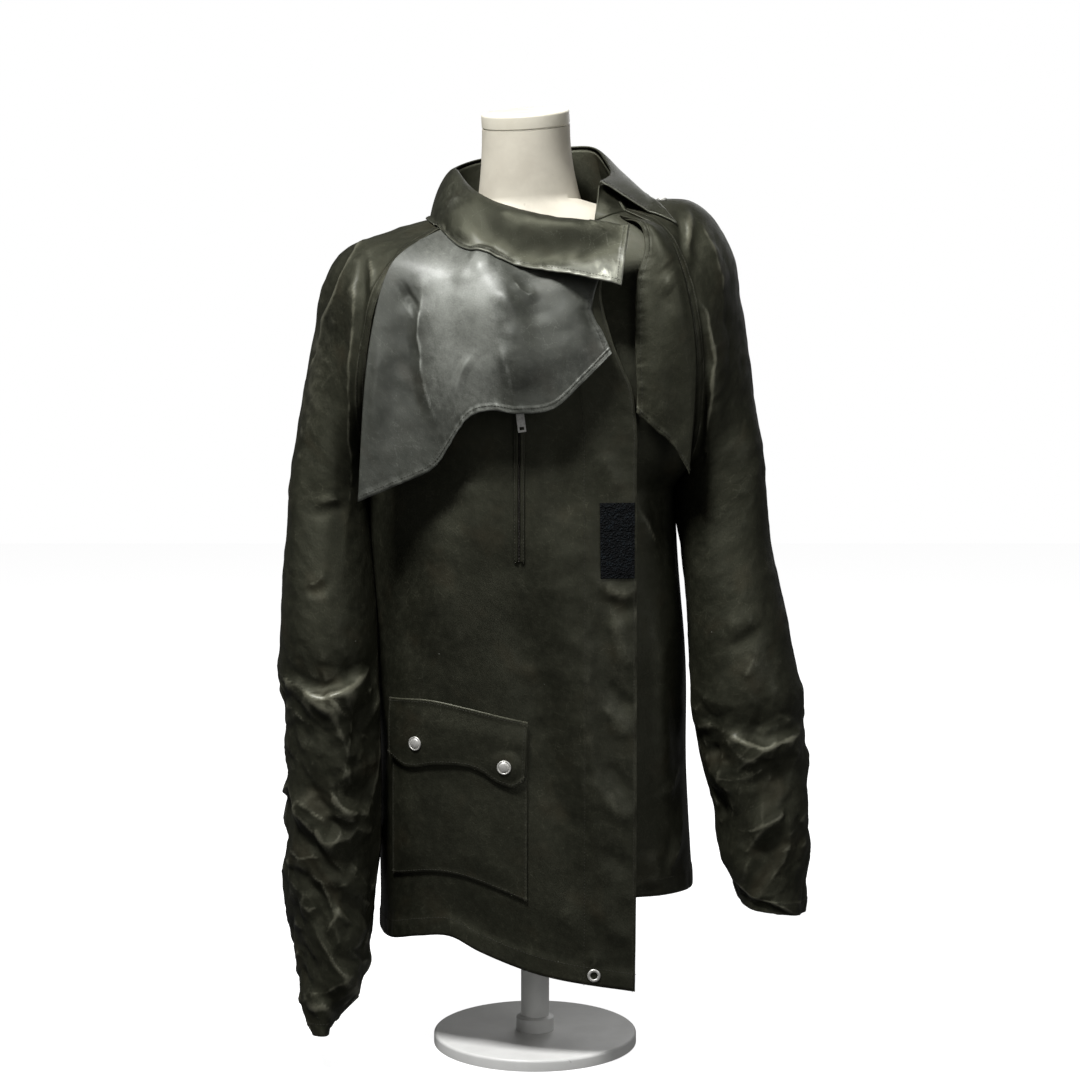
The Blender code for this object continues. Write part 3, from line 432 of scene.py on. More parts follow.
@dataclass(frozen=True)
class Crease:
    """One ridge (deep > 0) or trough (deep < 0) along a line of (x, z) places."""

    kind: Fold
    wide: float
    deep: float
    line: tuple[tuple[float, float], ...]

    def shape(self, x: np.ndarray, z: np.ndarray) -> tuple[np.ndarray, np.ndarray]:
        """Works out how far the crease raises the cloth, and where its crest wears pale.

        Args:
            x: places across the front, in millimetres.
            z: heights, in millimetres.

        Returns:
            The rise at each place, and the wear of its crest from 0 to 1.
        """
        nearest = np.full(x.shape, np.inf)
        share, right = np.zeros(x.shape), np.zeros(x.shape, bool)
        lengths = [math.dist(a, b) for a, b in zip(self.line, self.line[1:])]
        done = 0.0
        for (ax, az), (bx, bz), length in zip(self.line, self.line[1:], lengths):
            run_x, run_z = (bx - ax) / length, (bz - az) / length
            t = np.clip((x - ax) * run_x + (z - az) * run_z, 0, length)
            off_x, off_z = x - ax - t * run_x, z - az - t * run_z
            apart = np.hypot(off_x, off_z)
            closer = apart < nearest
            nearest = np.where(closer, apart, nearest)
            share = np.where(closer, (done + t) / sum(lengths), share)
            right = np.where(closer, run_x * off_z < run_z * off_x, right)
            done += length
        ends = ramp(np.minimum(share, 1 - share), 0.0, 0.3)
        rise = self.deep * (0.3 + 0.7 * ends) * self.profile(nearest / self.wide, right)
        sharp = 0.0 if self.kind is Fold.SOFT else min(max(self.deep, 0.0) / 3.5, 1.0)
        return rise, sharp * ends * np.exp(-((nearest / 1.2) ** 2))

    def profile(self, apart: np.ndarray, right: np.ndarray) -> np.ndarray:
        """The shape across the line.

        Args:
            apart: how far from the line each place is, in crease widths.
            right: whether it is on the line's right-hand side.

        Returns:
            Shares of the crease's depth.
        """
        if self.kind is Fold.SOFT:
            return np.exp(-apart * apart)
        if self.kind is Fold.CRISP:
            return np.clip(1 - apart / 1.5, 0, 1) ** 1.25
        steep = np.exp(-((apart / 0.28) ** 2)) - 0.35 * np.exp(-(((apart - 0.7) / 0.4) ** 2))
        return np.where(right, steep, np.clip(1 - apart / 2.2, 0, 1) ** 1.2)

    def turned(self, middle: Callable[[float], float], up: float) -> "Crease":
        """The crease carried to the far side of a sleeve whose middle is at this x."""
        line = tuple((2 * middle(z) - x, z + up) for x, z in self.line)
        return replace(self, line=line[::-1])


class Side(Enum):
    """An edge of a cloth's grid: columns run from START to END, and rows from FIRST to LAST."""

    START = 0
    END = 1
    FIRST = 2
    LAST = 3


def ramp(value: Any, low: float, high: float) -> Any:
    """A smooth step from 0 at low to 1 at high."""
    t = np.clip((value - low) / (high - low), 0, 1)
    return t * t * (3 - 2 * t)


def xyz(x: Any, y: Any, z: Any) -> np.ndarray:
    """Points from their three coordinates."""
    return np.stack(np.broadcast_arrays(x, y, z), axis=-1).astype(float)


def bezier(a: np.ndarray, b: np.ndarray, c: np.ndarray, d: np.ndarray, t: Any) -> np.ndarray:
    """Points on the cubic curves from a to d, pulled towards b and c."""
    s = 1 - t
    return s * s * s * a + 3 * s * s * t * b + 3 * s * t * t * c + t * t * t * d


def drift(points: np.ndarray, size: float, seed: int, octaves: int = 1) -> np.ndarray:
    """Smooth noise at points.

    Args:
        points: places in millimetres, three numbers each.
        size: about how wide its features are, in millimetres.
        seed: which noise it is.
        octaves: how many finer layers it has.

    Returns:
        Numbers of about -1 to 1, one a point.
    """
    places = points.reshape(-1, 3) / size + 17.31 * seed
    if octaves == 1:
        values = [noise.noise(place) for place in places]
    else:
        values = [noise.fractal(place, 0.9, 2.0, octaves) for place in places]
    return np.array(values).reshape(points.shape[:-1])


def averaged(values: np.ndarray, axis: int) -> np.ndarray:
    """Averages a grid along one axis.

    Args:
        values: the grid.
        axis: the axis along which each value is averaged with the two beside it.

    Returns:
        The averaged grid.
    """
    place = np.arange(values.shape[axis])
    low = np.take(values, np.maximum(place - 1, 0), axis)
    high = np.take(values, np.minimum(place + 1, place[-1]), axis)
    return 0.25 * low + 0.5 * values + 0.25 * high


def blurred(values: np.ndarray, times: int) -> np.ndarray:
    """Averages a grid with its neighbours.

    Args:
        values: the grid.
        times: how often it is averaged, both ways.

    Returns:
        The blurred grid.
    """
    for _ in range(times):
        values = averaged(averaged(values, 0), 1)
    return values


def facets(across: np.ndarray, along: np.ndarray, size: float, seed: int) -> np.ndarray:
    """The crumple of stiff cloth: flat facets that meet in creases.

    Args:
        across: how far round the piece each point lies, in millimetres.
        along: how far down the piece each point lies, in millimetres.
        size: about how wide a facet is.
        seed: which crumple it is.

    Returns:
        Heights from -1 to 1, one a point.
    """
    rng = np.random.default_rng(seed)
    corners = []
    for x in np.arange(across.min() - 2 * size, across.max() + 2 * size, size):
        for y in np.arange(along.min() - 2 * size, along.max() + 2 * size, size):
            corners.append((x + rng.uniform(-0.5, 0.5) * size, y + rng.uniform(-0.5, 0.5) * size))
    flat, _, triangles, *_ = delaunay_2d_cdt([Vector(c) for c in corners], [], [], 0, 1e-4)
    heights = rng.uniform(-1, 1, len(flat))
    tree = BVHTree.FromPolygons([(*p, h) for p, h in zip(flat, heights)], triangles)
    down = Vector((0, 0, -1))
    found = [tree.ray_cast((x, y, 9.0), down)[0] for x, y in zip(across.flat, along.flat)]
    return np.array([0.0 if spot is None else spot.z for spot in found]).reshape(across.shape)


def faces_of(rows: int, columns: int, turned: bool) -> np.ndarray:
    """The quads of a grid of points.

    Args:
        rows: how many points there are one way.
        columns: how many there are the other way.
        turned: whether the quads face the other way.

    Returns:
        Four numbers of points for each quad.
    """
    index = np.arange(rows * columns).reshape(rows, columns)
    ring = [index[:-1, :-1], index[:-1, 1:], index[1:, 1:], index[1:, :-1]]
    return np.stack(ring[::-1] if turned else ring, axis=-1).reshape(-1, 4)


@dataclass
class Cloth:
    """One surface of cloth: a grid of points, dressed with relief and made into a wall.

    Rows and columns are those of the grid. Its outer face is the one that columns and then rows
    turn about by the right hand, or the other one where it is turned.
    """

    points: np.ndarray
    turned: bool = False
    relief: np.ndarray = field(init=False)
    across: np.ndarray = field(init=False)
    along: np.ndarray = field(init=False)
    # wear of crests and edges, plus painted sheen (above 0) and painted shade (below 0)
    rub_and_painted_light: np.ndarray = field(init=False)

    def __post_init__(self) -> None:
        """Measures the cloth before anything folds it."""
        self.relief = np.zeros(self.points.shape[:2])
        self.rub_and_painted_light = np.zeros(self.points.shape[:2])
        self.across, self.along = self.lengths(1), self.lengths(0)

    def lengths(self, axis: int) -> np.ndarray:
        """How far each point lies along its line.

        Args:
            axis: 1 for its row, 0 for its column.

        Returns:
            Lengths in millimetres.
        """
        steps = np.linalg.norm(np.diff(self.points, axis=axis), axis=-1)
        start = np.zeros_like(np.take(steps, [0], axis))
        return np.concatenate([start, np.cumsum(steps, axis=axis)], axis=axis)

    def normals(self) -> np.ndarray:
        """The outward direction at each point."""
        found = np.cross(np.gradient(self.points, axis=1), np.gradient(self.points, axis=0))
        found /= np.maximum(np.linalg.norm(found, axis=-1, keepdims=True), 1e-9)
        return -found if self.turned else found

    def inset(self, side: Side) -> np.ndarray:
        """How far in from an edge each point lies.

        Args:
            side: the edge.

        Returns:
            Lengths in millimetres.
        """
        if side is Side.START:
            return self.across
        if side is Side.END:
            return self.across[:, -1:] - self.across
        return self.along if side is Side.FIRST else self.along[-1:] - self.along

    def from_edges(self, *sides: Side) -> np.ndarray:
        """How far in from the nearest of these edges each point lies, or of all four."""
        return np.minimum.reduce([self.inset(side) for side in sides or tuple(Side)])

    def facing(self, way: float = -1.0) -> np.ndarray:
        """How much each point faces the front (-1) or the back (1)."""
        return ramp(self.normals()[..., 1] * way, 0.02, 0.4)

    def fold(self, creases: Iterable[Crease], seed: int, weight: Any = 1.0) -> None:
        """Raises creases, on lines that wander a little.

        Args:
            creases: the creases.
            seed: which way they wander.
            weight: how much of them each point takes.
        """
        x = self.points[..., 0] + 2.0 * drift(self.points, 21, seed)
        z = self.points[..., 2] + 2.0 * drift(self.points, 23, seed + 1)
        uneven = drift(self.points, 16, seed + 2)
        for crease in creases:
            rise, rub = crease.shape(x, z)
            self.relief += rise * weight * (1 + min(0.35, 3.5 / crease.wide) * uneven)
            self.rub_and_painted_light += rub * weight * (0.42 + 0.7 * drift(self.points, 9, seed + 3))

    def swell(self, size: float, deep: float, seed: int, weight: Any = 1.0) -> None:
        """Raises soft hollows and bulges of this size."""
        self.relief += deep * drift(self.points, size, seed) * weight

    def crumple(self, size: float, deep: float, seed: int, weight: Any = 1.0, soften: int = 2) -> None:
        """Raises flat facets with creases between them."""
        made = facets(self.across - self.across[:, -1:] / 2, self.along, size, seed)
        self.relief += deep * blurred(made, soften) * weight

    def band(self, side: Side, wide: float, rise: float, weight: Any = 1.0) -> None:
        """Raises a turned hem or welt, with a groove where it is stitched down.

        Args:
            side: the edge that is turned.
            wide: how wide it is turned.
            rise: how far the double cloth stands up.
            weight: how much of it each point takes.
        """
        inset = self.inset(side)
        groove = np.exp(-(((inset - wide + 2.0) / 1.1) ** 2))
        self.relief += weight * (rise * ramp(inset, wide + 1.0, wide - 0.6) - 0.5 * rise * groove)
        step, edge = np.exp(-(((inset - wide) / 1.2) ** 2)), np.exp(-inset / 1.3)
        self.rub_and_painted_light += weight * (0.2 * step + 0.55 * edge)

    def pucker(self, side: Side, reach: float, deep: float, pitch: float, seed: int) -> None:
        """Gathers the cloth beside a stitched edge in short ribs across it.

        Args:
            side: the edge.
            reach: how far in the ribs run.
            deep: how far they stand up.
            pitch: how far apart they are.
            seed: which ribs they are.
        """
        inset = self.inset(side)
        run = self.along if side in (Side.START, Side.END) else self.across
        ribs = drift(xyz(run / pitch, inset / (3.2 * pitch), float(seed)), 1.0, seed, 2)
        self.relief += deep * ribs * np.exp(-((inset / reach) ** 2)) * ramp(inset, -1.0, 3.0)

    def calm(self, x: float, z: float, flat: float, fade: float) -> None:
        """Takes the relief off round a place where something rigid sits."""
        apart = np.hypot(self.points[..., 0] - x, self.points[..., 2] - z)
        self.relief *= ramp(apart, flat, flat + fade)

    def paint_light(self, patches: Iterable[Crease], weight: Any = 1.0) -> None:
        """Paints sheen (above 0) and shade (below 0) into the wear map, in patches listed like creases."""
        for patch in patches:
            self.rub_and_painted_light += weight * patch.shape(self.points[..., 0], self.points[..., 2])[0]

    def settle(self) -> None:
        """Moves the points out by the relief."""
        self.points = self.points + self.normals() * self.relief[..., None]

    def clear(self, tree: BVHTree, gap: float, where: np.ndarray | None = None) -> None:
        """Moves points out so that they lie at least this far over what is under them.

        Args:
            tree: the outer faces of what is under the cloth, in millimetres.
            gap: how far over it the cloth's outer face lies.
            where: which points may move, or all of them.
        """
        push = np.zeros_like(self.points)
        wanted = np.argwhere(np.ones(self.relief.shape, bool) if where is None else where)
        for r, c in wanted:
            point = Vector(self.points[r, c])
            spot, normal, _, apart = tree.find_nearest(point, CLEAR_REACH)
            if spot is not None:
                over = (point - spot).dot(normal)
                if over < gap:
                    push[r, c] = normal * (gap - over)
        self.points = self.points + push

    def tree(self) -> BVHTree:
        """A search tree over the outer faces."""
        rows, columns = self.relief.shape
        return BVHTree.FromPolygons(
            self.points.reshape(-1, 3).tolist(), faces_of(rows, columns, self.turned).tolist()
        )

    def trail(self, side: Side, inset: float, lift: float = 0.1) -> np.ndarray:
        """The points of a line that runs beside an edge.

        Args:
            side: the edge.
            inset: how far in from it the line runs.
            lift: how far over the cloth it lies.

        Returns:
            The points, from one end to the other.
        """
        surface, depth = self.points + self.normals() * lift, self.inset(side)
        if side in (Side.FIRST, Side.LAST):
            surface, depth = surface.swapaxes(0, 1), depth.T
        if side in (Side.END, Side.LAST):
            surface, depth = surface[:, ::-1], depth[:, ::-1]
        line = []
        for row, depths in zip(surface, depth):
            if depths[-1] > inset:
                line.append([np.interp(inset, depths, row[:, i]) for i in range(3)])
        return np.array(line)

    def mesh(self, name: str, thick: float, finish: bpy.types.Material, wear: float) -> bpy.types.Object:
        """Makes the wall, with its cloth map and its map of wear and painted light.

        Args:
            name: the object's name.
            thick: how thick the wall is, inwards of the points.
            finish: its material.
            wear: how far its crests wear pale, from 0 to 1.

        Returns:
            The object, in metres.
        """
        rows, columns = self.relief.shape
        faces = faces_of(rows, columns, self.turned)
        mesh = bpy.data.meshes.new(name)
        mesh.from_pydata((self.points * MM).reshape(-1, 3).tolist(), [], faces.tolist())
        across = self.across - self.across[:, -1:] / 2
        flat = np.stack([across, self.along], axis=-1).reshape(-1, 2) * MM
        mesh.uv_layers.new(name=CLOTH_MAP).uv.foreach_set("vector", flat[faces.ravel()].ravel())
        # Crests turn pale and troughs a little darker, and the painted sheen and painted shade are added
        # on.
        crest = self.relief - blurred(self.relief, CREST_BLUR)
        crest /= CREST_SLOPE * across.max() * 2 / columns
        crest = np.clip(crest * wear, -0.4, wear) + self.rub_and_painted_light
        mesh.attributes.new(WEAR_AND_LIGHT_MAP, "FLOAT", "POINT").data.foreach_set("value", crest.ravel())
        shape = bmesh.new()
        shape.from_mesh(mesh)
        bmesh.ops.remove_doubles(shape, verts=shape.verts, dist=0.00002)
        shape.to_mesh(mesh)
        shape.free()
        mesh.shade_smooth()
        mesh.materials.append(finish)
        obj = linked(name, mesh)
        wall = obj.modifiers.new("wall", "SOLIDIFY")
        wall.thickness = thick * MM
        wall.offset = -1.0
        return obj


def linked(name: str, mesh: bpy.types.Mesh) -> bpy.types.Object:
    """An object of this mesh in the scene."""
    obj = bpy.data.objects.new(name, mesh)
    bpy.context.scene.collection.objects.link(obj)
    return obj


def hang(obj: bpy.types.Object, slot: str, *nodes: str, body: str = COAT) -> bpy.types.Object:
    """Lets a finished piece ride on its body, in place of the nodes that it stands for.

    Args:
        obj: the piece.
        slot: not used.
        nodes: the CAD nodes that it stands for.
        body: the body that it rides on.

    Returns:
        The piece.
    """
    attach(obj, body)
    if nodes:
        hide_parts(*nodes)
    LOG.info("%s: %d faces", obj.name, len(obj.data.polygons))
    return obj


def creases(*rows: Sequence) -> tuple[Crease, ...]:
    """Creases from rows of kind, width, depth and then x and z in turn."""
    return tuple(
        Crease(kind, wide, deep, tuple(zip(line[::2], line[1::2]))) for kind, wide, deep, *line in rows
    )


SOFT, CRISP, LAP = Fold

# The creases of each piece: kind, width, depth (a ridge above 0, a trough below) and the x and z of
# the places it runs through. Painted light is listed the same way: painted sheen (above 0) makes
# the cloth paler and glossier there, and painted shade (below 0) makes it darker and duller.
FLAP_RIGHT = creases(
    (CRISP, 9, 5.1, -111, 798, -113, 776, -115, 751, -112, 722, -106, 692, -94, 657),
    (SOFT, 13, -4.2, -131, 783, -119, 791),
    (SOFT, 17, -3.8, -122, 781, -126, 741, -127, 697, -122, 662),
    (SOFT, 13, 3.6, -48, 823, -37, 800, -24, 774, -17, 746, -17, 712, -15, 681),
    (SOFT, 50, 10, -40, 812, -30, 774, -21, 736, -17, 690),
    (SOFT, 17, -6.9, -11, 817, -2, 785, 2, 756),
    (CRISP, 6, 3.2, -21, 803, -14, 793, -7, 789, 2, 794),
    (SOFT, 20, -3.8, -87, 834, -78, 800, -72, 756, -64, 715),
    (SOFT, 16, 4.2, 27, 793, 41, 756, 37, 715),
    (SOFT, 10, -3, 55, 785, 64, 756),
    (SOFT, 12, 3.5, -153, 756, -157, 697, -161, 638),
    (SOFT, 14, -2.5, -141, 746, -145, 687, -149, 628),
    (SOFT, 9, 3.2, -64, 834, -52, 823, -37, 823),
    (CRISP, 5, 1.8, -79, 692, -72, 715, -60, 734),
    (CRISP, 5, 1.4, -34, 741, -26, 715, -20, 689),
)
# Painted sheen down the right storm flap where light catches it, and painted shade beside its folds.
FLAP_PAINTED_LIGHT = creases(
    (SOFT, 24, 0.56, -104, 872, -98, 810, -90, 740, -78, 650),
    (SOFT, 26, 0.62, -62, 872, -56, 800, -50, 740, -44, 650),
    (SOFT, 20, 0.30, 10, 690, 40, 724, 66, 752),
    (SOFT, 16, -0.35, -130, 800, -134, 720, -138, 640),
    (SOFT, 22, -0.40, 6, 800, 14, 756, 30, 740),
)
# Painted sheen on the upper right sleeve and on both elbows, and painted shade on the right sleeve's middle
# and the left sleeve's upper inner side.
SLEEVE_PAINTED_LIGHT = creases(
    (SOFT, 26, 0.40, -214, 800, -226, 720, -236, 640),
    (SOFT, 38, -0.50, -214, 590, -214, 530),
    (SOFT, 28, 0.35, -214, 420, -208, 360),
    (SOFT, 22, -0.45, 178, 560, 184, 480),
    (SOFT, 20, 0.25, 220, 430, 240, 400),
)
# Painted sheen along the right front's facing.
FRONT_PAINTED_LIGHT = creases(
    (SOFT, 20, 0.30, 78, 660, 80, 480, 84, 330, 84, 150),
)
# Painted sheen on the fall's lower edge at the front and on its right end, and painted shade along a band
# below the roll.
COLLAR_PAINTED_LIGHT = creases(
    (SOFT, 13, 1.5, 16, 812, 50, 812, 76, 814, 88, 820),
    (SOFT, 9, 0.4, -78, 846, -50, 838, -10, 822),
    (SOFT, 13, -1.3, -66, 872, -40, 858, 0, 846, 50, 848, 76, 852),
    (SOFT, 12, 0.35, -84, 892, -78, 872),
)
FLAP_LEFT = creases(
    (SOFT, 12, 2.5, 124, 853, 136, 827, 145, 786, 149, 736),
    (SOFT, 10, -2.5, 116, 845, 125, 811, 129, 756),
    (SOFT, 9, -2, 132, 823, 140, 814),
    (SOFT, 9, 2, 129, 804, 138, 798),
    (SOFT, 16, 2, 120, 736, 125, 687, 133, 657),
    (SOFT, 12, -1.8, 137, 726, 145, 677, 151, 637),
)
SLEEVE_R_FRONT = creases(
    (SOFT, 60, 10, -250, 616, -222, 612, -190, 610),
    (LAP, 13, 6, -172, 857, -182, 834, -192, 812, -203, 789, -213, 767, -223, 737),
    (CRISP, 7, 3.4, -169, 846, -176, 823, -179, 801, -181, 775, -182, 749,
        -185, 728, -186, 705, -189, 644, -193, 583, -196, 513),
    (SOFT, 7, -4.5, -171, 825, -172, 797, -173, 767, -174, 736),
    (CRISP, 5, 2, -167, 836, -164, 812, -162, 789),
    (SOFT, 14, -2.5, -199, 767, -205, 716, -209, 654),
    (CRISP, 6, 1.8, -223, 575, -212, 580, -198, 586),
    (SOFT, 8, -2.6, -225, 570, -210, 572, -197, 580),
    (CRISP, 6, 1.6, -230, 498, -219, 503, -211, 512),
    (SOFT, 7, -2, -230, 492, -217, 497, -209, 505),
    (SOFT, 10, 2, -241, 634, -242, 562, -244, 479),
    (SOFT, 9, -1.8, -218, 665, -224, 613, -223, 562),
    (LAP, 13, 6.8, -168, 411, -181, 401, -195, 393, -212, 388, -228, 392, -241, 400),
    (CRISP, 17, -5.1, -168, 422, -189, 414, -210, 400, -238, 409),
    (CRISP, 17, -6, -175, 382, -174, 352, -179, 321, -188, 296),
    (CRISP, 15, 3.4, -183, 382, -184, 354, -190, 323, -195, 300),
    (CRISP, 12, 2.7, -247, 375, -237, 363, -225, 359),
    (CRISP, 15, -3, -247, 363, -237, 352, -227, 339),
    (CRISP, 14, 3.7, -208, 296, -200, 281, -186, 269, -167, 262),
    (CRISP, 14, 3.4, -244, 285, -229, 272, -213, 264, -198, 270),
    (CRISP, 17, -4.2, -192, 296, -179, 283, -169, 270),
    (CRISP, 15, -3.6, -233, 300, -219, 283, -204, 272),
    (CRISP, 17, -4.2, -196, 249, -184, 258, -171, 254),
    (CRISP, 14, 3.2, -213, 230, -201, 243, -190, 258),
    (CRISP, 12, 2.9, -255, 230, -240, 220, -226, 226, -213, 222),
    (CRISP, 12, 2.7, -238, 211, -220, 199, -199, 192, -180, 201),
    (CRISP, 17, -3.7, -232, 194, -214, 182, -197, 175),
    (CRISP, 15, 3.9, -257, 194, -247, 180, -230, 169, -214, 173),
    (CRISP, 15, -3.6, -226, 158, -214, 167, -201, 173),
    (CRISP, 12, 2.5, -214, 138, -205, 159, -197, 177),
    (CRISP, 17, -3.1, -247, 120, -233, 114, -223, 99),
    (CRISP, 12, 3.1, -243, 94, -231, 85, -214, 82, -197, 94, -181, 112),
    (CRISP, 12, 2.7, -242, 76, -227, 67, -210, 69),
    (CRISP, 15, -3.4, -229, 77, -208, 77, -191, 90),
    (CRISP, 10, 2.2, -198, 58, -189, 80, -177, 99),
)
SLEEVE_L_FRONT = creases(
    (SOFT, 60, 7, 160, 604, 200, 602, 244, 600),
    (CRISP, 8, 3, 164, 875, 172, 856, 181, 832, 187, 809, 191, 777),
    (SOFT, 6, 4, 156, 882, 156, 858, 154, 825),
    (SOFT, 6, -4, 149, 874, 150, 852, 150, 825),
    (SOFT, 7, -3, 162, 856, 162, 829, 158, 807),
    (LAP, 10, 6, 160, 790, 170, 775, 175, 752, 178, 724, 177, 679, 174, 634),
    (SOFT, 10, -5, 166, 756, 169, 716, 168, 664, 164, 623),
    (SOFT, 18, -3, 190, 685, 192, 634, 199, 582),
    (SOFT, 14, 2.4, 215, 664, 223, 603, 234, 541),
    (SOFT, 10, 2.4, 193, 450, 210, 460, 226, 468),
    (SOFT, 9, -2, 193, 437, 212, 445, 228, 456),
    (CRISP, 12, 1.7, 210, 404, 216, 416, 222, 429),
    (LAP, 14, 5.1, 278, 351, 256, 341, 232, 335, 209, 340, 190, 350),
    (CRISP, 20, -3.8, 194, 362, 218, 356, 244, 358, 271, 368),
    (CRISP, 17, -6, 169, 351, 178, 335, 186, 320),
    (CRISP, 15, 4.2, 190, 349, 200, 335, 213, 324, 236, 320),
    (CRISP, 14, 3.1, 176, 305, 197, 299, 219, 305, 240, 318),
    (CRISP, 17, -3.4, 215, 295, 234, 303, 252, 318),
    (CRISP, 19, -5.1, 184, 288, 190, 269, 189, 252),
    (CRISP, 12, 2.5, 199, 290, 202, 269, 197, 250),
    (CRISP, 14, 3.1, 197, 246, 220, 250, 243, 261, 261, 269),
    (CRISP, 17, -3.4, 201, 236, 222, 231, 239, 225),
    (CRISP, 12, 2.4, 251, 238, 266, 252, 278, 269),
    (CRISP, 12, 2.2, 235, 221, 251, 229, 268, 231),
    (LAP, 9, 4.2, 195, 208, 208, 193, 224, 183, 245, 174, 275, 157),
)
FRONT_RIGHT = creases(
    (SOFT, 24, -9, -23, 512, -5, 426, 13, 324, 32, 201),
    (SOFT, 22, 8, 16, 600, 31, 460, 49, 324, 68, 181),
    (SOFT, 24, -5.7, -130, 567, -135, 486, -134, 405),
    (SOFT, 26, 5.1, -90, 587, -85, 507, -80, 405),
    (SOFT, 10, 2.2, 47, 637, 49, 527, 54, 405, 58, 283),
    (CRISP, 8, 3.2, 68, 506, 76, 495, 89, 490, 103, 497),
    (SOFT, 9, -3, 71, 486, 88, 476, 102, 480),
    (SOFT, 8, 2.2, 57, 527, 62, 502, 59, 466),
    (SOFT, 9, 2.7, 78, 476, 88, 436, 100, 418),
    (SOFT, 8, -2.7, 72, 405, 86, 385, 100, 373),
    (SOFT, 8, 2.7, 66, 385, 82, 363, 98, 342),
    (SOFT, 9, -2.4, 70, 324, 84, 303, 100, 291),
    (SOFT, 9, 2.4, 66, 293, 84, 271, 102, 260),
    (SOFT, 10, -2.2, 62, 232, 82, 221, 101, 205),
    (SOFT, 10, 2.4, 64, 180, 78, 149, 97, 134),
    (CRISP, 6, 2.4, 64, 128, 60, 116, 56, 103),
    (SOFT, 18, -2.4, -96, 175, -56, 154, -15, 134),
    (SOFT, 12, 2.2, 26, 175, 41, 149, 56, 126),
    (SOFT, 13, -2.2, -160, 446, -156, 365, -152, 283),
    (SOFT, 16, 2.7, -65, 617, -59, 567, -57, 527),
    (SOFT, 14, -2.4, 21, 647, 25, 597, 31, 557),
    (SOFT, 12, 2.7, 63, 637, 77, 607, 87, 589),
)
FRONT_LEFT = creases(
    (CRISP, 9, 5.1, 106, 577, 115, 555, 126, 531),
    (SOFT, 14, -5.1, 126, 615, 135, 565, 143, 514),
    (SOFT, 12, 3.7, 122, 483, 130, 381, 136, 277),
    (SOFT, 10, -3.7, 144, 442, 148, 340, 153, 236),
    (CRISP, 6, 3.1, 137, 184, 149, 226, 155, 277),
    (CRISP, 6, 2.7, 128, 277, 144, 288, 156, 309),
    (SOFT, 12, 3.7, 118, 226, 123, 199, 125, 179),
)
COLLAR_FRONT = creases(
    (SOFT, 22, -9, 84, 862, 78, 846, 62, 837, 39, 833, 11, 830, -20, 832, -48, 846),
    (CRISP, 5, 1.4, 5, 823, 31, 817, 60, 812),
    (SOFT, 8, 2.4, 64, 823, 76, 813, 84, 803),
    (SOFT, 11, 6, -60, 880, -20, 866, 20, 857, 54, 855, 72, 858),
    (SOFT, 12, 3, 8, 812, 54, 802, 92, 795),
    (CRISP, 4, 0.8, 64, 827, 70, 819, 72, 809),
    (CRISP, 4, 0.8, 54, 823, 58, 816, 59, 809),
    (CRISP, 4, 0.7, 76, 832, 80, 823, 80, 813),
    (SOFT, 12, 3, -81, 901, -77, 883, -71, 862, -54, 838),
    (SOFT, 12, -2.5, -63, 891, -50, 862, -34, 838),
    (SOFT, 9, 1.5, -93, 877, -85, 864, -81, 848),
)
BACK_FOLDS = creases(
    (SOFT, 26, -5, -118, 770, -70, 742, -10, 736, 52, 748, 104, 776),
    (SOFT, 20, 4, -92, 700, -40, 684, 22, 690, 78, 712),
    (SOFT, 30, -6, -96, 640, -88, 520, -98, 380, -90, 230),
    (SOFT, 28, 5, -46, 660, -38, 540, -50, 400, -58, 250),
    (SOFT, 34, -5, 10, 640, 16, 500, 4, 350, 12, 190),
    (SOFT, 26, 5.5, 62, 650, 72, 530, 64, 400, 76, 260),
    (SOFT, 26, -5, 108, 600, 104, 480, 114, 350, 110, 240),
    (CRISP, 13, 3.4, -136, 560, -112, 520, -80, 500, -44, 496),
    (CRISP, 12, 3, 128, 520, 100, 488, 66, 470, 30, 468),
    (SOFT, 20, -3.5, -60, 330, -20, 306, 34, 300, 84, 318),
    (CRISP, 10, 2.4, -70, 800, -40, 788, 0, 784, 44, 790),
    (SOFT, 16, 3, -110, 210, -60, 196, -4, 202),
)

# Where the slider, the pull, the snaps and the eyelet keep the cloth flat: x, z, how wide it is
# flat, and how far its relief takes to come back.
CALM_PLACES = (
    (-15.6, 679.5, 9, 9),
    (-15.6, 664, 9, 9),
    (-122, 337, 8, 10),
    (-31, 317, 8, 10),
    (60, 102.5, 7, 8),
)


class Value:
    """A socket's output in a Python expression: each operator adds a Math node."""

    def __init__(self, board: "Board", socket: bpy.types.NodeSocket) -> None:
        """Wraps an output socket of a node on the board."""
        self.board, self.socket = board, socket

    def math(self, operation: str, *terms: Any, clamp: bool = False) -> "Value":
        """The result of a Math node on this value and others."""
        settings = {"operation": operation, "use_clamp": clamp}
        return self.board.node("ShaderNodeMath", settings, dict(enumerate((self, *terms))))

    def __add__(self, other: Any) -> "Value":
        """self + other."""
        return self.math("ADD", other)

    __radd__ = __add__

    def __sub__(self, other: Any) -> "Value":
        """self - other."""
        return self.math("SUBTRACT", other)

    def __rsub__(self, other: float) -> "Value":
        """other - self."""
        return (self * -1) + other

    def __mul__(self, other: Any) -> "Value":
        """self * other."""
        return self.math("MULTIPLY", other)

    __rmul__ = __mul__

    def step(self, low: float, high: float) -> "Value":
        """A smooth step from 0 at low to 1 at high."""
        settings = {"interpolation_type": "SMOOTHSTEP"}
        sockets = {"Value": self, "From Min": low, "From Max": high}
        return self.board.node("ShaderNodeMapRange", settings, sockets)

    def clamped(self) -> "Value":
        """The value held between 0 and 1."""
        return self.math("MULTIPLY", 1.0, clamp=True)


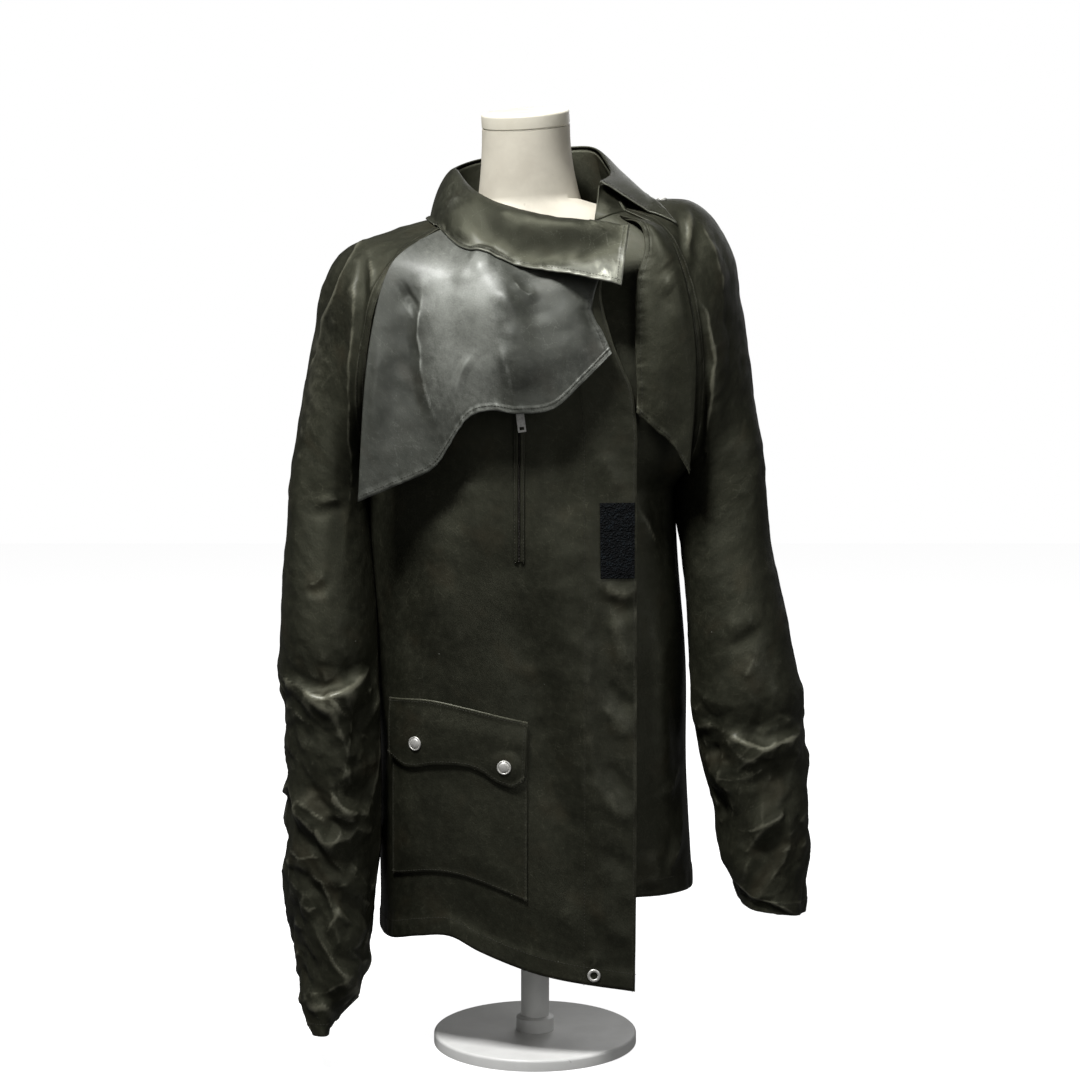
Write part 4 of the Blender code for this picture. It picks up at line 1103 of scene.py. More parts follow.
class Board:
    """A material's node tree, written as expressions."""

    def __init__(self, name: str) -> None:
        """Starts a material with one Principled shader."""
        self.material = bpy.data.materials.new(name)
        self.material.use_nodes = True
        self.tree = self.material.node_tree
        self.shader = self.tree.nodes["Principled BSDF"]

    def node(self, kind: str, settings: dict, sockets: dict, output: int | str = 0) -> Value:
        """Adds a node.

        Args:
            kind: its type.
            settings: its properties, set before its sockets.
            sockets: a number, colour or Value for each input, by name or place.
            output: which output is meant.

        Returns:
            That output.
        """
        made = self.tree.nodes.new(kind)
        for key, value in settings.items():
            setattr(made, key, value)
        for key, value in sockets.items():
            self.plug(made.inputs[key], value)
        return Value(self, made.outputs[output])

    def plug(self, socket: bpy.types.NodeSocket, value: Any) -> None:
        """Links a Value to an input, or sets the input."""
        if isinstance(value, Value):
            self.tree.links.new(value.socket, socket)
        else:
            socket.default_value = value

    def mix(self, share: Any, low: Any, high: Any) -> Value:
        """A blend of two colours."""
        sockets = {0: share, 6: rgba(low), 7: rgba(high)}
        return self.node("ShaderNodeMix", {"data_type": "RGBA"}, sockets, 2)

    def noise(self, place: Value, size: float, detail: float = 3.0, rough: float = 0.55) -> Value:
        """Cloudy noise whose features are about this wide, in millimetres."""
        sockets = {"Vector": place, "Scale": 1 / (size * MM), "Detail": detail, "Roughness": rough}
        return self.node("ShaderNodeTexNoise", {}, sockets)

    def cells(self, place: Value, size: float, feature: str = "F1", output: str = "Distance") -> Value:
        """Cells about this wide, in millimetres: the distance to their middles or edges."""
        sockets = {"Vector": place, "Scale": 1 / (size * MM)}
        return self.node("ShaderNodeTexVoronoi", {"feature": feature}, sockets, output)

    def warped(self, place: Value, size: float, far: float) -> Value:
        """Places moved about by noise of this size, this far in millimetres."""
        sockets = {"Vector": place, "Scale": 1 / (size * MM), "Detail": 2.0}
        shift = self.node("ShaderNodeTexNoise", {}, sockets, "Color")
        sockets = {0: shift, 1: (2 * far * MM,) * 3, 2: place}
        return self.node("ShaderNodeVectorMath", {"operation": "MULTIPLY_ADD"}, sockets)

    def bump(self, height: Value, deep: float, under: Value | None = None) -> Value:
        """A normal for heights whose full range is this deep, in millimetres."""
        sockets = {"Height": height, "Distance": deep * MM, "Strength": 1.0}
        if under is not None:
            sockets["Normal"] = under
        return self.node("ShaderNodeBump", {}, sockets)

    def finish(self, **sockets: Any) -> bpy.types.Material:
        """Sets the shader's inputs, by names with underscores for spaces."""
        for key, value in sockets.items():
            self.plug(self.shader.inputs[key.replace("_", " ")], value)
        return self.material


def rgba(colour: Any) -> Any:
    """A colour with its alpha, or a Value as it is."""
    return colour if isinstance(colour, Value) else (*colour, 1.0)


@dataclass(frozen=True)
class WaxedCotton:
    """Dark olive cotton, dulled and cloudy with old wax, pale where its creases wear, with painted sheen
    and painted shade carried in its wear map.
    """

    name: str = "waxed_cotton"
    deep: tuple = (0.0038, 0.0041, 0.0024)
    olive: tuple = (0.0108, 0.0112, 0.0064)
    rub_and_painted_light: tuple = (0.120, 0.118, 0.086)
    brown: tuple = (0.022, 0.017, 0.0095)
    roughness: float = 0.54
    coat: float = 0.08
    gloss: float = 0.56
    rumple: float = 0.18
    cloudy: float = 0.25
    sheen: float = 0.35
    weave: float = 0.75
    tint: tuple = (0.99, 1.0, 0.74, 1.0)
    lint: tuple = (0.36, 0.36, 0.32)

    def make(self) -> bpy.types.Material:
        """Builds the material."""
        board = Board(self.name)
        place = board.node("ShaderNodeUVMap", {"uv_map": CLOTH_MAP}, {})
        wear = board.node("ShaderNodeAttribute", {"attribute_name": WEAR_AND_LIGHT_MAP}, {}, "Fac")
        cloud = board.noise(board.warped(place, 90, 18), 38, 4.0, 0.62)
        mottle = board.noise(board.warped(place, 16, 1.6), 7.0, 4.0, 0.6)
        grain = board.noise(place, 1.9, 3.0, 0.6)
        creased = board.warped(board.warped(place, 26, 9), 6, 1.6)
        cracks = 1 - board.cells(creased, 15, "DISTANCE_TO_EDGE").step(0.0, 0.03)
        fine = 1 - board.cells(creased, 6, "DISTANCE_TO_EDGE").step(0.0, 0.05)
        scuffs = (cracks * cloud.step(0.44, 0.64) + fine * mottle.step(0.46, 0.66) * 0.6).clamped()
        # The wear map holds worn crests and edges and also painted sheen and painted shade: where it is
        # high the cloth takes the pale colour, its tone rises, its roughness falls and its coat grows;
        # below 0 it is darker and duller.
        worn = (wear + (mottle - 0.5) * 0.35 + (grain - 0.5) * 0.35).step(0.15, 1.0)
        tone = (cloud * 0.5 + mottle * 0.45 + grain * 0.35 + wear * 0.15).step(0.42, 0.92)
        colour = board.mix(tone, self.deep, self.olive)
        colour = board.mix(board.noise(place, 55, 2.0).step(0.54, 0.74) * 0.5, colour, self.brown)
        pale = (worn * 0.7 + scuffs * grain.step(0.4, 0.6) * 0.22).clamped()
        colour = board.mix(pale, colour, self.rub_and_painted_light)
        lint = 1 - board.cells(board.warped(place, 4, 2), 26).step(0.012, 0.022)
        colour = board.mix(lint * 0.6, colour, self.lint)
        wave = math.tau / (self.weave * MM)
        warp = board.node("ShaderNodeSeparateXYZ", {}, {0: place}, "X")
        weft = board.node("ShaderNodeSeparateXYZ", {}, {0: place}, "Y")
        weave = (warp * wave).math("SINE") * (weft * wave).math("SINE")
        normal = board.bump(mottle, self.rumple)
        normal = board.bump(grain + weave * 0.2, 0.16, normal)
        return board.finish(
            Base_Color=colour,
            Roughness=self.roughness + (cloud - 0.5) * self.cloudy + (mottle - 0.5) * 0.2 - wear * 0.15,
            Coat_Weight=(self.coat * 1.6 * mottle.step(0.3, 0.75) + wear * self.sheen).clamped(),
            Coat_Roughness=0.38,
            Specular_IOR_Level=self.gloss,
            Specular_Tint=self.tint,
            Normal=normal,
        )


@dataclass(frozen=True)
class Painted:
    """A painted face, slightly uneven, with scuffs and small chips down to what is under it."""

    name: str
    colour: tuple
    shade: tuple
    chip: tuple
    roughness: float
    chipped: float = 0.5
    uneven: float = 0.25

    def make(self) -> bpy.types.Material:
        """Builds the material."""
        board = Board(self.name)
        place = board.node("ShaderNodeTexCoord", {}, {}, "Object")
        cloud = board.noise(board.warped(place, 60, 12), 34, 4.0)
        grain = board.noise(place, 1.3, 2.0)
        chips = (1 - board.cells(board.warped(place, 5, 3), 24).step(0.04, 0.06)) * self.chipped
        chips = chips * board.noise(place, 40, 1.0).step(0.5, 0.56)
        colour = board.mix(cloud.step(0.35, 0.7), self.colour, self.shade)
        colour = board.mix(chips, colour, self.chip)
        normal = board.bump(cloud * 0.5 + grain * 0.15 - chips * 0.6, self.uneven)
        rough = self.roughness + (cloud - 0.5) * 0.2
        return board.finish(Base_Color=colour, Roughness=rough, Normal=normal)


@dataclass(frozen=True)
class Metal:
    """Bare or plated metal with a fine brushed grain and duller patches."""

    name: str
    colour: tuple
    dull: tuple
    roughness: float

    def make(self) -> bpy.types.Material:
        """Builds the material."""
        board = Board(self.name)
        place = board.node("ShaderNodeTexCoord", {}, {}, "Object")
        patch = board.noise(place, 3.0, 4.0)
        brush = board.noise(board.node("ShaderNodeMapping", {}, {0: place, 3: (1, 1, 9)}), 1.1, 2.0)
        return board.finish(
            Base_Color=board.mix(patch.step(0.4, 0.75), self.colour, self.dull),
            Roughness=self.roughness + (patch - 0.5) * 0.3 + (brush - 0.5) * 0.12,
            Metallic=0.6,
            Normal=board.bump(brush, 0.03),
        )


@dataclass(frozen=True)
class Pile:
    """The blue-black loops of a hook-and-loop square."""

    name: str = "hook_and_loop"
    colour: tuple = (0.0009, 0.0015, 0.0022)
    loops: tuple = (0.0080, 0.0130, 0.0170)

    def make(self) -> bpy.types.Material:
        """Builds the material."""
        board = Board(self.name)
        place = board.node("ShaderNodeTexCoord", {}, {}, "Object")
        loop = 1 - board.cells(board.warped(place, 3, 1.2), 2.0).step(0.1, 0.75)
        patch = board.noise(place, 7, 3.0)
        colour = board.mix(loop * patch.step(0.38, 0.68), self.colour, self.loops)
        normal = board.bump(loop, 1.4)
        return board.finish(Base_Color=colour, Roughness=0.9, Specular_IOR_Level=0.2, Normal=normal)


@dataclass(frozen=True)
class Thread:
    """Twisted sewing thread, a shade lighter than the cloth."""

    name: str = "olive_thread"
    colour: tuple = (0.036, 0.034, 0.023)

    def make(self) -> bpy.types.Material:
        """Builds the material."""
        board = Board(self.name)
        place = board.node("ShaderNodeTexCoord", {}, {}, "Object")
        shade = board.noise(place, 14, 2.0)
        dark = tuple(0.55 * share for share in self.colour)
        colour = board.mix(shade.step(0.35, 0.7), self.colour, dark)
        return board.finish(Base_Color=colour, Roughness=0.7)


def raglan_shares(steps: int) -> np.ndarray:
    """Places from armpit (0) to neck (1), closer together where the shoulder turns."""
    return 1 - (1 - np.linspace(0, 1, steps + 1)) ** NECK_CROWDING


def body_levels(below: int, above: int) -> np.ndarray:
    """Levels of a body panel's rows, from the hem to the armpit and on to the neckline."""
    return np.concatenate([np.linspace(0, 1, below)[:-1], 1 + raglan_shares(above)])[:, None]


def back_seam(row: SimpleNamespace) -> SimpleNamespace:
    """The raglan rows of the front, carried round to the back of the body.

    Args:
        row: the front's rows, as a raglan table reads them.

    Returns:
        The back's rows.
    """
    lift = row.at**4
    turned = {key: -BACK_DEPTH * getattr(row, key) for key in ("y", "body_y", "sleeve_y", "over_pull")}
    turned |= {"x": row.x * (1 - BACK_NECK_INSET * lift), "z": row.z + BACK_NECK_RISE * lift}
    return SimpleNamespace(**(vars(row) | turned))


def body_side(side: Table, raglan: Table, level: np.ndarray, behind: bool) -> tuple:
    """Where body rows start at the side, and the pulls with which they leave.

    Args:
        side: the side seam.
        raglan: the raglan seam.
        level: the rows' levels.
        behind: whether the rows are the back's.

    Returns:
        The starts and the pulls.
    """
    low, high = side.at(np.minimum(level, 1)), raglan.at(np.maximum(level - 1, 0))
    if behind:
        high = back_seam(high)
    pull = low.pull * (BACK_DEPTH if behind else -1)
    lower = (level <= 1)[..., None]
    start = np.where(lower, xyz(low.x, 0, low.z), xyz(high.x, high.y, high.z))
    return start, np.where(lower, xyz(0, pull, 0), xyz(high.body_x, high.body_y, 0))


def front_points(
    side: Table, raglan: Table, edge: Table, hem: Table | None, u: np.ndarray, level: np.ndarray
) -> np.ndarray:
    """Points of a front.

    Args:
        side: its side seam.
        raglan: its raglan seam.
        edge: its front edge.
        hem: how far its hem dips, if it does.
        u: shares from the side to the front edge.
        level: the rows' levels.

    Returns:
        A point for each share and level.
    """
    start, pull = body_side(side, raglan, level, False)
    row = edge.at(level)
    end = xyz(row.x, row.y, row.z)
    arrive = xyz(-row.reach, -row.bow, 0)
    fall = (end[..., 2:] - start[..., 2:]) / 3 * np.array([0, 0, 1])
    points = bezier(start, start + pull + fall, end + arrive - fall, end, u[..., None])
    if hem is not None:
        points[..., 2] += hem.at(u).lift * np.maximum(1 - level, 0) ** 2
    return points


def back_half(side: Table, raglan: Table, t: np.ndarray, level: np.ndarray, way: float) -> np.ndarray:
    """Points of half the back.

    Args:
        side: its side seam.
        raglan: its raglan seam.
        t: shares from the side to the middle.
        level: the rows' levels.
        way: which side of the middle the half lies on, -1 or 1.

    Returns:
        A point for each share and level.
    """
    row = BACK_MIDDLE.at(level)
    middle = xyz(row.x, row.y, row.z)
    start, pull = body_side(side, raglan, level, True)
    return bezier(start, start + pull, middle + xyz(way * row.reach, 0, 0), middle, t[..., None])


def sleeve_half(raglan: Table, tube: Table, u: np.ndarray, level: np.ndarray, behind: bool) -> np.ndarray:
    """Points of half a sleeve.

    Args:
        raglan: the raglan seam.
        tube: the sleeve from armpit to cuff.
        u: shares from the overarm line to the raglan or underarm seam.
        level: the rows' levels.
        behind: whether the half is the back one.

    Returns:
        A point for each share and level.
    """
    high = raglan.at(1 - np.minimum(level, 1))
    if behind:
        high = back_seam(high)
    low = tube.at(np.maximum(level, 1))
    reach = low.depth * ELLIPSE_PULL * (BACK_DEPTH if behind else -1)
    upper = (level < 1)[..., None]
    start = np.where(upper, xyz(high.over_x, high.over_y, high.over_z), xyz(low.over_x, low.y, low.over_z))
    end = np.where(upper, xyz(high.x, high.y, high.z), xyz(low.under_x, low.y, low.under_z))
    leave = np.where(upper, xyz(0, -high.over_pull, 0), xyz(0, reach, 0))
    rise = (high.over_z - high.z) / 3
    arrive = np.where(upper, xyz(high.sleeve_x, high.sleeve_y, rise), xyz(0, reach, 0))
    return bezier(start, start + leave, end + arrive, end, u[..., None])


def coons(
    first: Callable, last: Callable, start: Callable, end: Callable, u: np.ndarray, v: np.ndarray
) -> np.ndarray:
    """Points of the patch between four edges.

    Args:
        first: the edge at u = 0, which runs along v.
        last: the edge at u = 1.
        start: the edge at v = 0, which runs along u.
        end: the edge at v = 1.
        u: shares across.
        v: shares along.

    Returns:
        A point for each pair of shares.
    """
    s, t = u[..., None], v[..., None]
    ruled = first(v) * (1 - s) + last(v) * s
    across = start(u) * (1 - t) + end(u) * t
    zero, one = np.zeros((1, 1)), np.ones((1, 1))
    top = first(zero) * (1 - s) + last(zero) * s
    foot = first(one) * (1 - s) + last(one) * s
    return ruled + across - top * (1 - t) - foot * t


def grid(columns: int, rows: int) -> tuple[np.ndarray, np.ndarray]:
    """Shares from 0 to 1 across (one row of them) and along (one column of them)."""
    return np.linspace(0, 1, columns + 1)[None, :], np.linspace(0, 1, rows + 1)[:, None]


def seen(tree: BVHTree, x: float, z: float, lift: float) -> tuple[Vector, Vector]:
    """The place on a panel that is seen from the front, lifted off it, and its direction."""
    spot, normal, _, _ = tree.ray_cast(Vector((x, -BEYOND, z)), Vector((0, 1, 0)))
    return spot + normal * lift, normal


def laid(top: Table, bottom: Table, tree: BVHTree, lift: float, columns: int, rows: int) -> Cloth:
    """A patch laid on a panel, between two edges seen from the front.

    Args:
        top: its top edge.
        bottom: its bottom edge.
        tree: the panel under it.
        lift: how far its outer face lies over the panel.
        columns: how many steps it has across.
        rows: how many it has down.

    Returns:
        The patch, undressed.
    """
    u, v = grid(columns, rows)
    high, low = top.at(u), bottom.at(u)
    x, z = high.x + (low.x - high.x) * v, high.z + (low.z - high.z) * v
    points = [seen(tree, a, b, lift)[0] for a, b in zip(x.flat, z.flat)]
    return Cloth(np.array(points).reshape(*x.shape, 3), turned=True)


def lathe(
    name: str, profile: Sequence, place: Matrix, finish: bpy.types.Material, sides: int = 72
) -> bpy.types.Object:
    """Turns a profile about the Z axis of a place.

    Args:
        name: the object's name.
        profile: (radius, height) from the axis round to the axis, in millimetres.
        place: where the axis stands, in millimetres.
        finish: the material.
        sides: how many flats stand for the round.

    Returns:
        The object, in metres.
    """
    shape = bmesh.new()
    verts = [shape.verts.new((radius, 0, height)) for radius, height in profile]
    for a, b in zip(verts, verts[1:]):
        shape.edges.new((a, b))
    axis = {"axis": (0, 0, 1), "cent": (0, 0, 0), "angle": math.tau, "steps": sides}
    bmesh.ops.spin(shape, geom=shape.verts[:] + shape.edges[:], **axis)
    bmesh.ops.remove_doubles(shape, verts=shape.verts, dist=0.001)
    bmesh.ops.recalc_face_normals(shape, faces=shape.faces)
    mesh = bpy.data.meshes.new(name)
    shape.to_mesh(mesh)
    shape.free()
    mesh.transform(Matrix.Scale(MM, 4) @ place)
    mesh.shade_smooth()
    mesh.set_sharp_from_angle(angle=math.radians(35))
    mesh.materials.append(finish)
    return linked(name, mesh)


def rounded(radius: float, foot: float, head: float, edge: float, steps: int = 5) -> list:
    """The profile of a disc or drum whose upper rim is rounded.

    Args:
        radius: its radius.
        foot: the height of its underside.
        head: the height of its top.
        edge: the radius of the rounding.
        steps: how many flats stand for it.

    Returns:
        (radius, height) from the axis round to the axis.
    """
    turn = [math.pi / 2 * i / steps for i in range(steps + 1)]
    rim = [(radius - edge + edge * math.sin(a), head - edge + edge * math.cos(a)) for a in turn]
    return [(0.0, head), *rim, (radius, foot), (0.0, foot)]


def upright(spot: Vector, normal: Vector) -> Matrix:
    """A place whose Z axis stands on a surface."""
    return Matrix.Translation(spot) @ normal.to_track_quat("Z", "Y").to_matrix().to_4x4()


class Copier:
    """A Geometry Nodes tree that sets copies of one small shape along lines."""

    def __init__(self, name: str, *sizes: str) -> None:
        """Starts the tree.

        Args:
            name: its name.
            sizes: the names of its inputs, besides the lines.
        """
        self.tree = bpy.data.node_groups.new(name, "GeometryNodeTree")
        face = self.tree.interface
        face.new_socket("Lines", in_out="INPUT", socket_type="NodeSocketGeometry")
        for size in sizes:
            face.new_socket(size, in_out="INPUT", socket_type="NodeSocketFloat")
        face.new_socket("Copies", in_out="OUTPUT", socket_type="NodeSocketGeometry")
        self.given = self.node("NodeGroupInput", {}, {})
        self.curve = self.node("GeometryNodeMeshToCurve", {}, {"Mesh": self.given["Lines"]})["Curve"]

    def node(self, kind: str, settings: dict, sockets: dict) -> bpy.types.bpy_prop_collection:
        """Adds a node.

        Args:
            kind: its type.
            settings: its properties, set before its sockets.
            sockets: a value or another node's output for each input, by name.

        Returns:
            Its outputs, by name.
        """
        made = self.tree.nodes.new(kind)
        for key, value in settings.items():
            setattr(made, key, value)
        for key, value in sockets.items():
            if isinstance(value, bpy.types.NodeSocket):
                self.tree.links.new(value, made.inputs[key])
            else:
                made.inputs[key].default_value = value
        return made.outputs

    def copy(self, finish: bpy.types.Material, **sockets: bpy.types.NodeSocket) -> None:
        """Sets the copies, makes them real and gives them their material.

        Args:
            finish: the material.
            sockets: what gives the copies' points, their shape and the rest.
        """
        copies = self.node("GeometryNodeInstanceOnPoints", {}, sockets)
        real = self.node("GeometryNodeRealizeInstances", {}, {"Geometry": copies["Instances"]})
        sockets = {"Geometry": real["Geometry"], "Material": finish}
        coloured = self.node("GeometryNodeSetMaterial", {}, sockets)
        self.node("NodeGroupOutput", {}, {"Copies": coloured["Geometry"]})

    def run(self, name: str, points: list, edges: list, **sizes: float) -> bpy.types.Object:
        """Runs the tree on lines.

        Args:
            name: the name of the object that it makes.
            points: the lines' points, in metres.
            edges: the pairs of points that they join.
            sizes: the tree's inputs by name, in millimetres.

        Returns:
            The copies as one plain mesh, without the modifier.
        """
        mesh = bpy.data.meshes.new("lines")
        mesh.from_pydata(points, edges, [])
        obj = linked("lines", mesh)
        setter = obj.modifiers.new(name, "NODES")
        setter.node_group = self.tree
        for item in self.tree.interface.items_tree:
            if item.in_out == "INPUT" and item.name in sizes:
                setter[item.identifier] = sizes[item.name] * MM
        graph = bpy.context.evaluated_depsgraph_get()
        mesh = bpy.data.meshes.new_from_object(obj.evaluated_get(graph))
        bpy.data.objects.remove(obj)
        mesh.name = name
        mesh.shade_smooth()
        return linked(name, mesh)


@dataclass
class Stitching:
    """Every row of topstitching: lines on the cloth that one node tree sets with stitches."""

    pitch: float = 3.3
    length: float = 2.3
    thick: float = 0.62
    lines: list = field(default_factory=list)

    def sew(self, *lines: np.ndarray) -> None:
        """Adds lines of points, in millimetres."""
        self.lines.extend(line for line in lines if len(line) > 2)

    def copier(self, finish: bpy.types.Material) -> Copier:
        """Builds the node tree that sets a stitch every so far along each line.

        Args:
            finish: the thread's material.

        Returns:
            The tree.
        """
        tree = Copier("stitches", "Pitch", "Length", "Thickness")
        sockets = {"Curve": tree.curve, "Length": tree.given["Pitch"]}
        spread = tree.node("GeometryNodeCurveToPoints", {"mode": "LENGTH"}, sockets)
        stitch = tree.node("GeometryNodeMeshUVSphere", {}, {"Segments": 5, "Rings": 4, "Radius": 0.5})
        thick = tree.given["Thickness"]
        size = tree.node("ShaderNodeCombineXYZ", {}, {"X": thick, "Y": thick, "Z": tree.given["Length"]})
        turn, shape = spread["Rotation"], stitch["Mesh"]
        tree.copy(finish, Points=spread["Points"], Rotation=turn, Instance=shape, Scale=size["Vector"])
        return tree

    def build(self, finish: bpy.types.Material) -> None:
        """Makes the stitches into one plain mesh."""
        points, edges = [], []
        for line in self.lines:
            first = len(points)
            points.extend((line * MM).tolist())
            edges.extend((first + i, first + i + 1) for i in range(len(line) - 1))
        sizes = {"Pitch": self.pitch, "Length": self.length, "Thickness": self.thick}
        hang(self.copier(finish).run("topstitching", points, edges, **sizes), "waxed_cotton")


def made_once(look: Any) -> Any:
    """A field for a finish's material, made once."""
    return field(default_factory=look.make)


@dataclass
class Finishes:
    """Every material, made once."""

    cotton: bpy.types.Material = made_once(WaxedCotton())
    worn: bpy.types.Material = made_once(
        WaxedCotton(
            "worn_cotton", (0.0050, 0.0054, 0.0031), (0.0150, 0.0152, 0.0092),
            roughness=0.60, coat=0.04, gloss=0.42, rumple=0.36,
        )
    )
    # A copy of the waxed cotton several times lighter and glossier, whose paler colour is painted sheen for
    # the right storm flap.
    painted_sheen_flap: bpy.types.Material = made_once(
        WaxedCotton(
            "polished_cotton", (0.019, 0.0205, 0.0155), (0.041, 0.043, 0.033), (0.27, 0.28, 0.25),
            roughness=0.58, coat=0.08, gloss=0.9, rumple=0.1, cloudy=0.1, sheen=0.5,
            tint=(0.97, 1.0, 0.93, 1.0),
        )
    )
    # A lighter copy of the waxed cotton for the collar's fall, with a paler rub colour and a strong coat
    # where the collar's painted sheen lies.
    rolled: bpy.types.Material = made_once(
        WaxedCotton(
            "rolled_cotton", (0.0052, 0.0056, 0.0034), (0.0165, 0.0172, 0.0110), (0.24, 0.245, 0.205),
            roughness=0.52, coat=0.06, gloss=0.6, sheen=0.8,
        )
    )
    linen: bpy.types.Material = made_once(
        Painted("form_linen", (0.64, 0.60, 0.50), (0.56, 0.52, 0.43), (0.40, 0.35, 0.27), 0.62, 0.35)
    )
    board: bpy.types.Material = made_once(
        Painted("form_cap_board", (0.78, 0.74, 0.62), (0.70, 0.66, 0.54), (0.33, 0.24, 0.15), 0.5, 0.9)
    )
    steel: bpy.types.Material = made_once(
        Painted("painted_steel", (0.80, 0.80, 0.78), (0.74, 0.74, 0.72), (0.30, 0.29, 0.28), 0.4, 0.3, 0.05)
    )
    nickel: bpy.types.Material = made_once(Metal("nickel", (0.80, 0.79, 0.75), (0.55, 0.54, 0.50), 0.42))
    zip_metal: bpy.types.Material = made_once(
        Metal("dark_zip_metal", (0.045, 0.040, 0.033), (0.02, 0.018, 0.016), 0.5)
    )
    pile: bpy.types.Material = made_once(Pile())
    thread: bpy.types.Material = made_once(Thread())


@dataclass
class DressForm:
    """The limbless form with its leaning neck and cap, on a pole and a round plate."""

    sides: int = 96
    torso_steps: int = 60
    neck_rows: int = 14
    neck_lean: float = math.radians(11.0)
    neck_tilt: float = math.radians(3.6)
    cap_radius: float = 45.4
    cap_height: float = 15.0
    cap_centre: tuple = (-9.2, -11.0, 965.0)
    pole_radius: float = 15.0
    pole_top: float = 199.6
    socket_wide: float = 5.0
    socket_tall: float = 16.0
    base_radius: float = 108.0
    base_height: float = 12.0

    def rings(self) -> np.ndarray:
        """The rings of the torso and then of the neck, up to the cap."""
        row = FORM.at(np.linspace(0, 1, self.torso_steps + 1)[:, None])
        angle = np.linspace(0, math.tau, self.sides, endpoint=False)[None, :]
        across, depth = row.wide * np.cos(angle), row.deep * np.sin(angle)
        torso = xyz(row.x + across, row.y + depth, row.z + across * row.tilt)
        spoke = xyz(np.cos(angle[0]), np.sin(angle[0]), 0) * self.cap_radius
        rim = spoke @ np.array(self.lean()).T + np.array(self.cap_centre)
        t = np.linspace(0, 1, self.neck_rows + 1)[1:, None, None]
        neck = torso[-1] + (rim - torso[-1]) * t
        neck[..., 0] = (torso[-1] + (rim - torso[-1]) * t * (2 - t))[..., 0]
        return np.concatenate([torso, neck])

    def lean(self) -> Matrix:
        """How the neck and the cap lean."""
        return Matrix.Rotation(self.neck_lean, 3, "X") @ Matrix.Rotation(-self.neck_tilt, 3, "Y")

    def tree(self) -> BVHTree:
        """A search tree over the form's faces, turned outwards."""
        rings = self.rings()
        closed = np.concatenate([rings, rings[:, :1]], axis=1)
        return Cloth(closed).tree()

    def build(self, finishes: Finishes) -> None:
        """Makes the form, its cap and its stand."""
        rings = self.rings()
        rows, sides = rings.shape[:2]
        index = np.arange(rows * sides).reshape(rows, sides)
        low, high = index[:-1], index[1:]
        quads = np.stack([low, np.roll(low, -1, 1), np.roll(high, -1, 1), high], -1).reshape(-1, 4)
        mesh = bpy.data.meshes.new("form_torso")
        faces = quads.tolist() + [index[0][::-1].tolist(), index[-1].tolist()]
        mesh.from_pydata((rings * MM).reshape(-1, 3).tolist(), [], faces)
        mesh.shade_smooth()
        mesh.set_sharp_from_angle(angle=math.radians(50))
        mesh.materials.append(finishes.linen)
        hang(linked("form_torso", mesh), "form_linen", "form_body")
        lean = self.lean().to_4x4()
        place = Matrix.Translation(self.cap_centre) @ lean @ Matrix.Translation((0, 0, SEAT_GAP))
        cap = lathe("neck_cap", self.cap_profile(), place, finishes.board, self.sides)
        hang(cap, "form_cap_board", "form_cap")
        pole = [(0, self.pole_top), (self.pole_radius, self.pole_top)]
        foot, wide = self.base_height + SEAT_GAP, self.pole_radius + self.socket_wide
        rim = foot + self.socket_tall
        socket = [(self.pole_radius, rim), (wide, rim - 2), (wide, foot)]
        stand = lathe("pole", [*pole, *socket, (0, foot)], Matrix(), finishes.steel)
        hang(stand, "painted_steel", "stand_pole")
        base = rounded(self.base_radius, 0, self.base_height, 3.0)
        plate = lathe("base_plate", base, Matrix(), finishes.steel, self.sides)
        hang(plate, "painted_steel", "stand_base")

    def cap_profile(self) -> list:
        """The cap's profile, with the fine joint line where it meets the neck."""
        top = rounded(self.cap_radius, 0, self.cap_height, 2.4)
        joint = [(self.cap_radius, 1.6), (self.cap_radius - 0.8, 1.2), (self.cap_radius - 0.8, 0.5)]
        return [*top[:-2], *joint, (self.cap_radius - 0.3, 0.0), (0.0, 0.0)]


@dataclass
class Fronts:
    """The two fronts: the long lapping right one with its slanting hem, and the left one under it."""

    casing: float = 20.0
    facing: float = 55.0
    right_cut: tuple = (0.345, 0.800)
    left_cut: tuple = (0.290, 0.730)

    def right(self) -> Cloth:
        """The right front, dressed with its folds."""
        level, u = body_levels(150, 90), np.linspace(0, 1, 116)[None, :]
        cloth = Cloth(front_points(SIDE_RIGHT, RAGLAN_RIGHT, EDGE_RIGHT, HEM_RIGHT, u, level))
        inner = ramp(cloth.from_edges(Side.START, Side.LAST), 0, 22)
        cloth.swell(120, 2.2, 11, inner)
        cloth.swell(46, 0.3, 12, inner)
        cloth.fold(FRONT_RIGHT, 13, inner)
        cloth.crumple(34, 0.35, 14, inner, 4)
        cloth.crumple(11, 0.15, 15, inner, 1)
        cloth.pucker(Side.FIRST, 26, 1.3, 11, 16)
        cloth.pucker(Side.END, 16, 0.8, 17, 17)
        cloth.band(Side.FIRST, self.casing, 0.9)
        cloth.band(Side.END, self.facing, 0.5)
        # Painted sheen along the facing.
        cloth.paint_light(FRONT_PAINTED_LIGHT)
        for x, z, flat, fade in CALM_PLACES:
            cloth.calm(x, z, flat, fade)
        cloth.settle()
        return cloth

    def left(self) -> Cloth:
        """The left front, which the right one covers but for a strip."""
        level, u = body_levels(120, 70), np.linspace(0, 1, 90)[None, :]
        cloth = Cloth(front_points(SIDE_LEFT, RAGLAN_LEFT, EDGE_LEFT, None, u, level), turned=True)
        inner = ramp(cloth.from_edges(Side.START, Side.LAST), 0, 18)
        cloth.swell(90, 2.0, 21, inner)
        cloth.fold(FRONT_LEFT, 22, inner)
        cloth.crumple(24, 0.5, 23, inner, 3)
        cloth.pucker(Side.FIRST, 22, 1.2, 11, 24)
        cloth.band(Side.FIRST, self.casing, 0.8)
        cloth.settle()
        return cloth


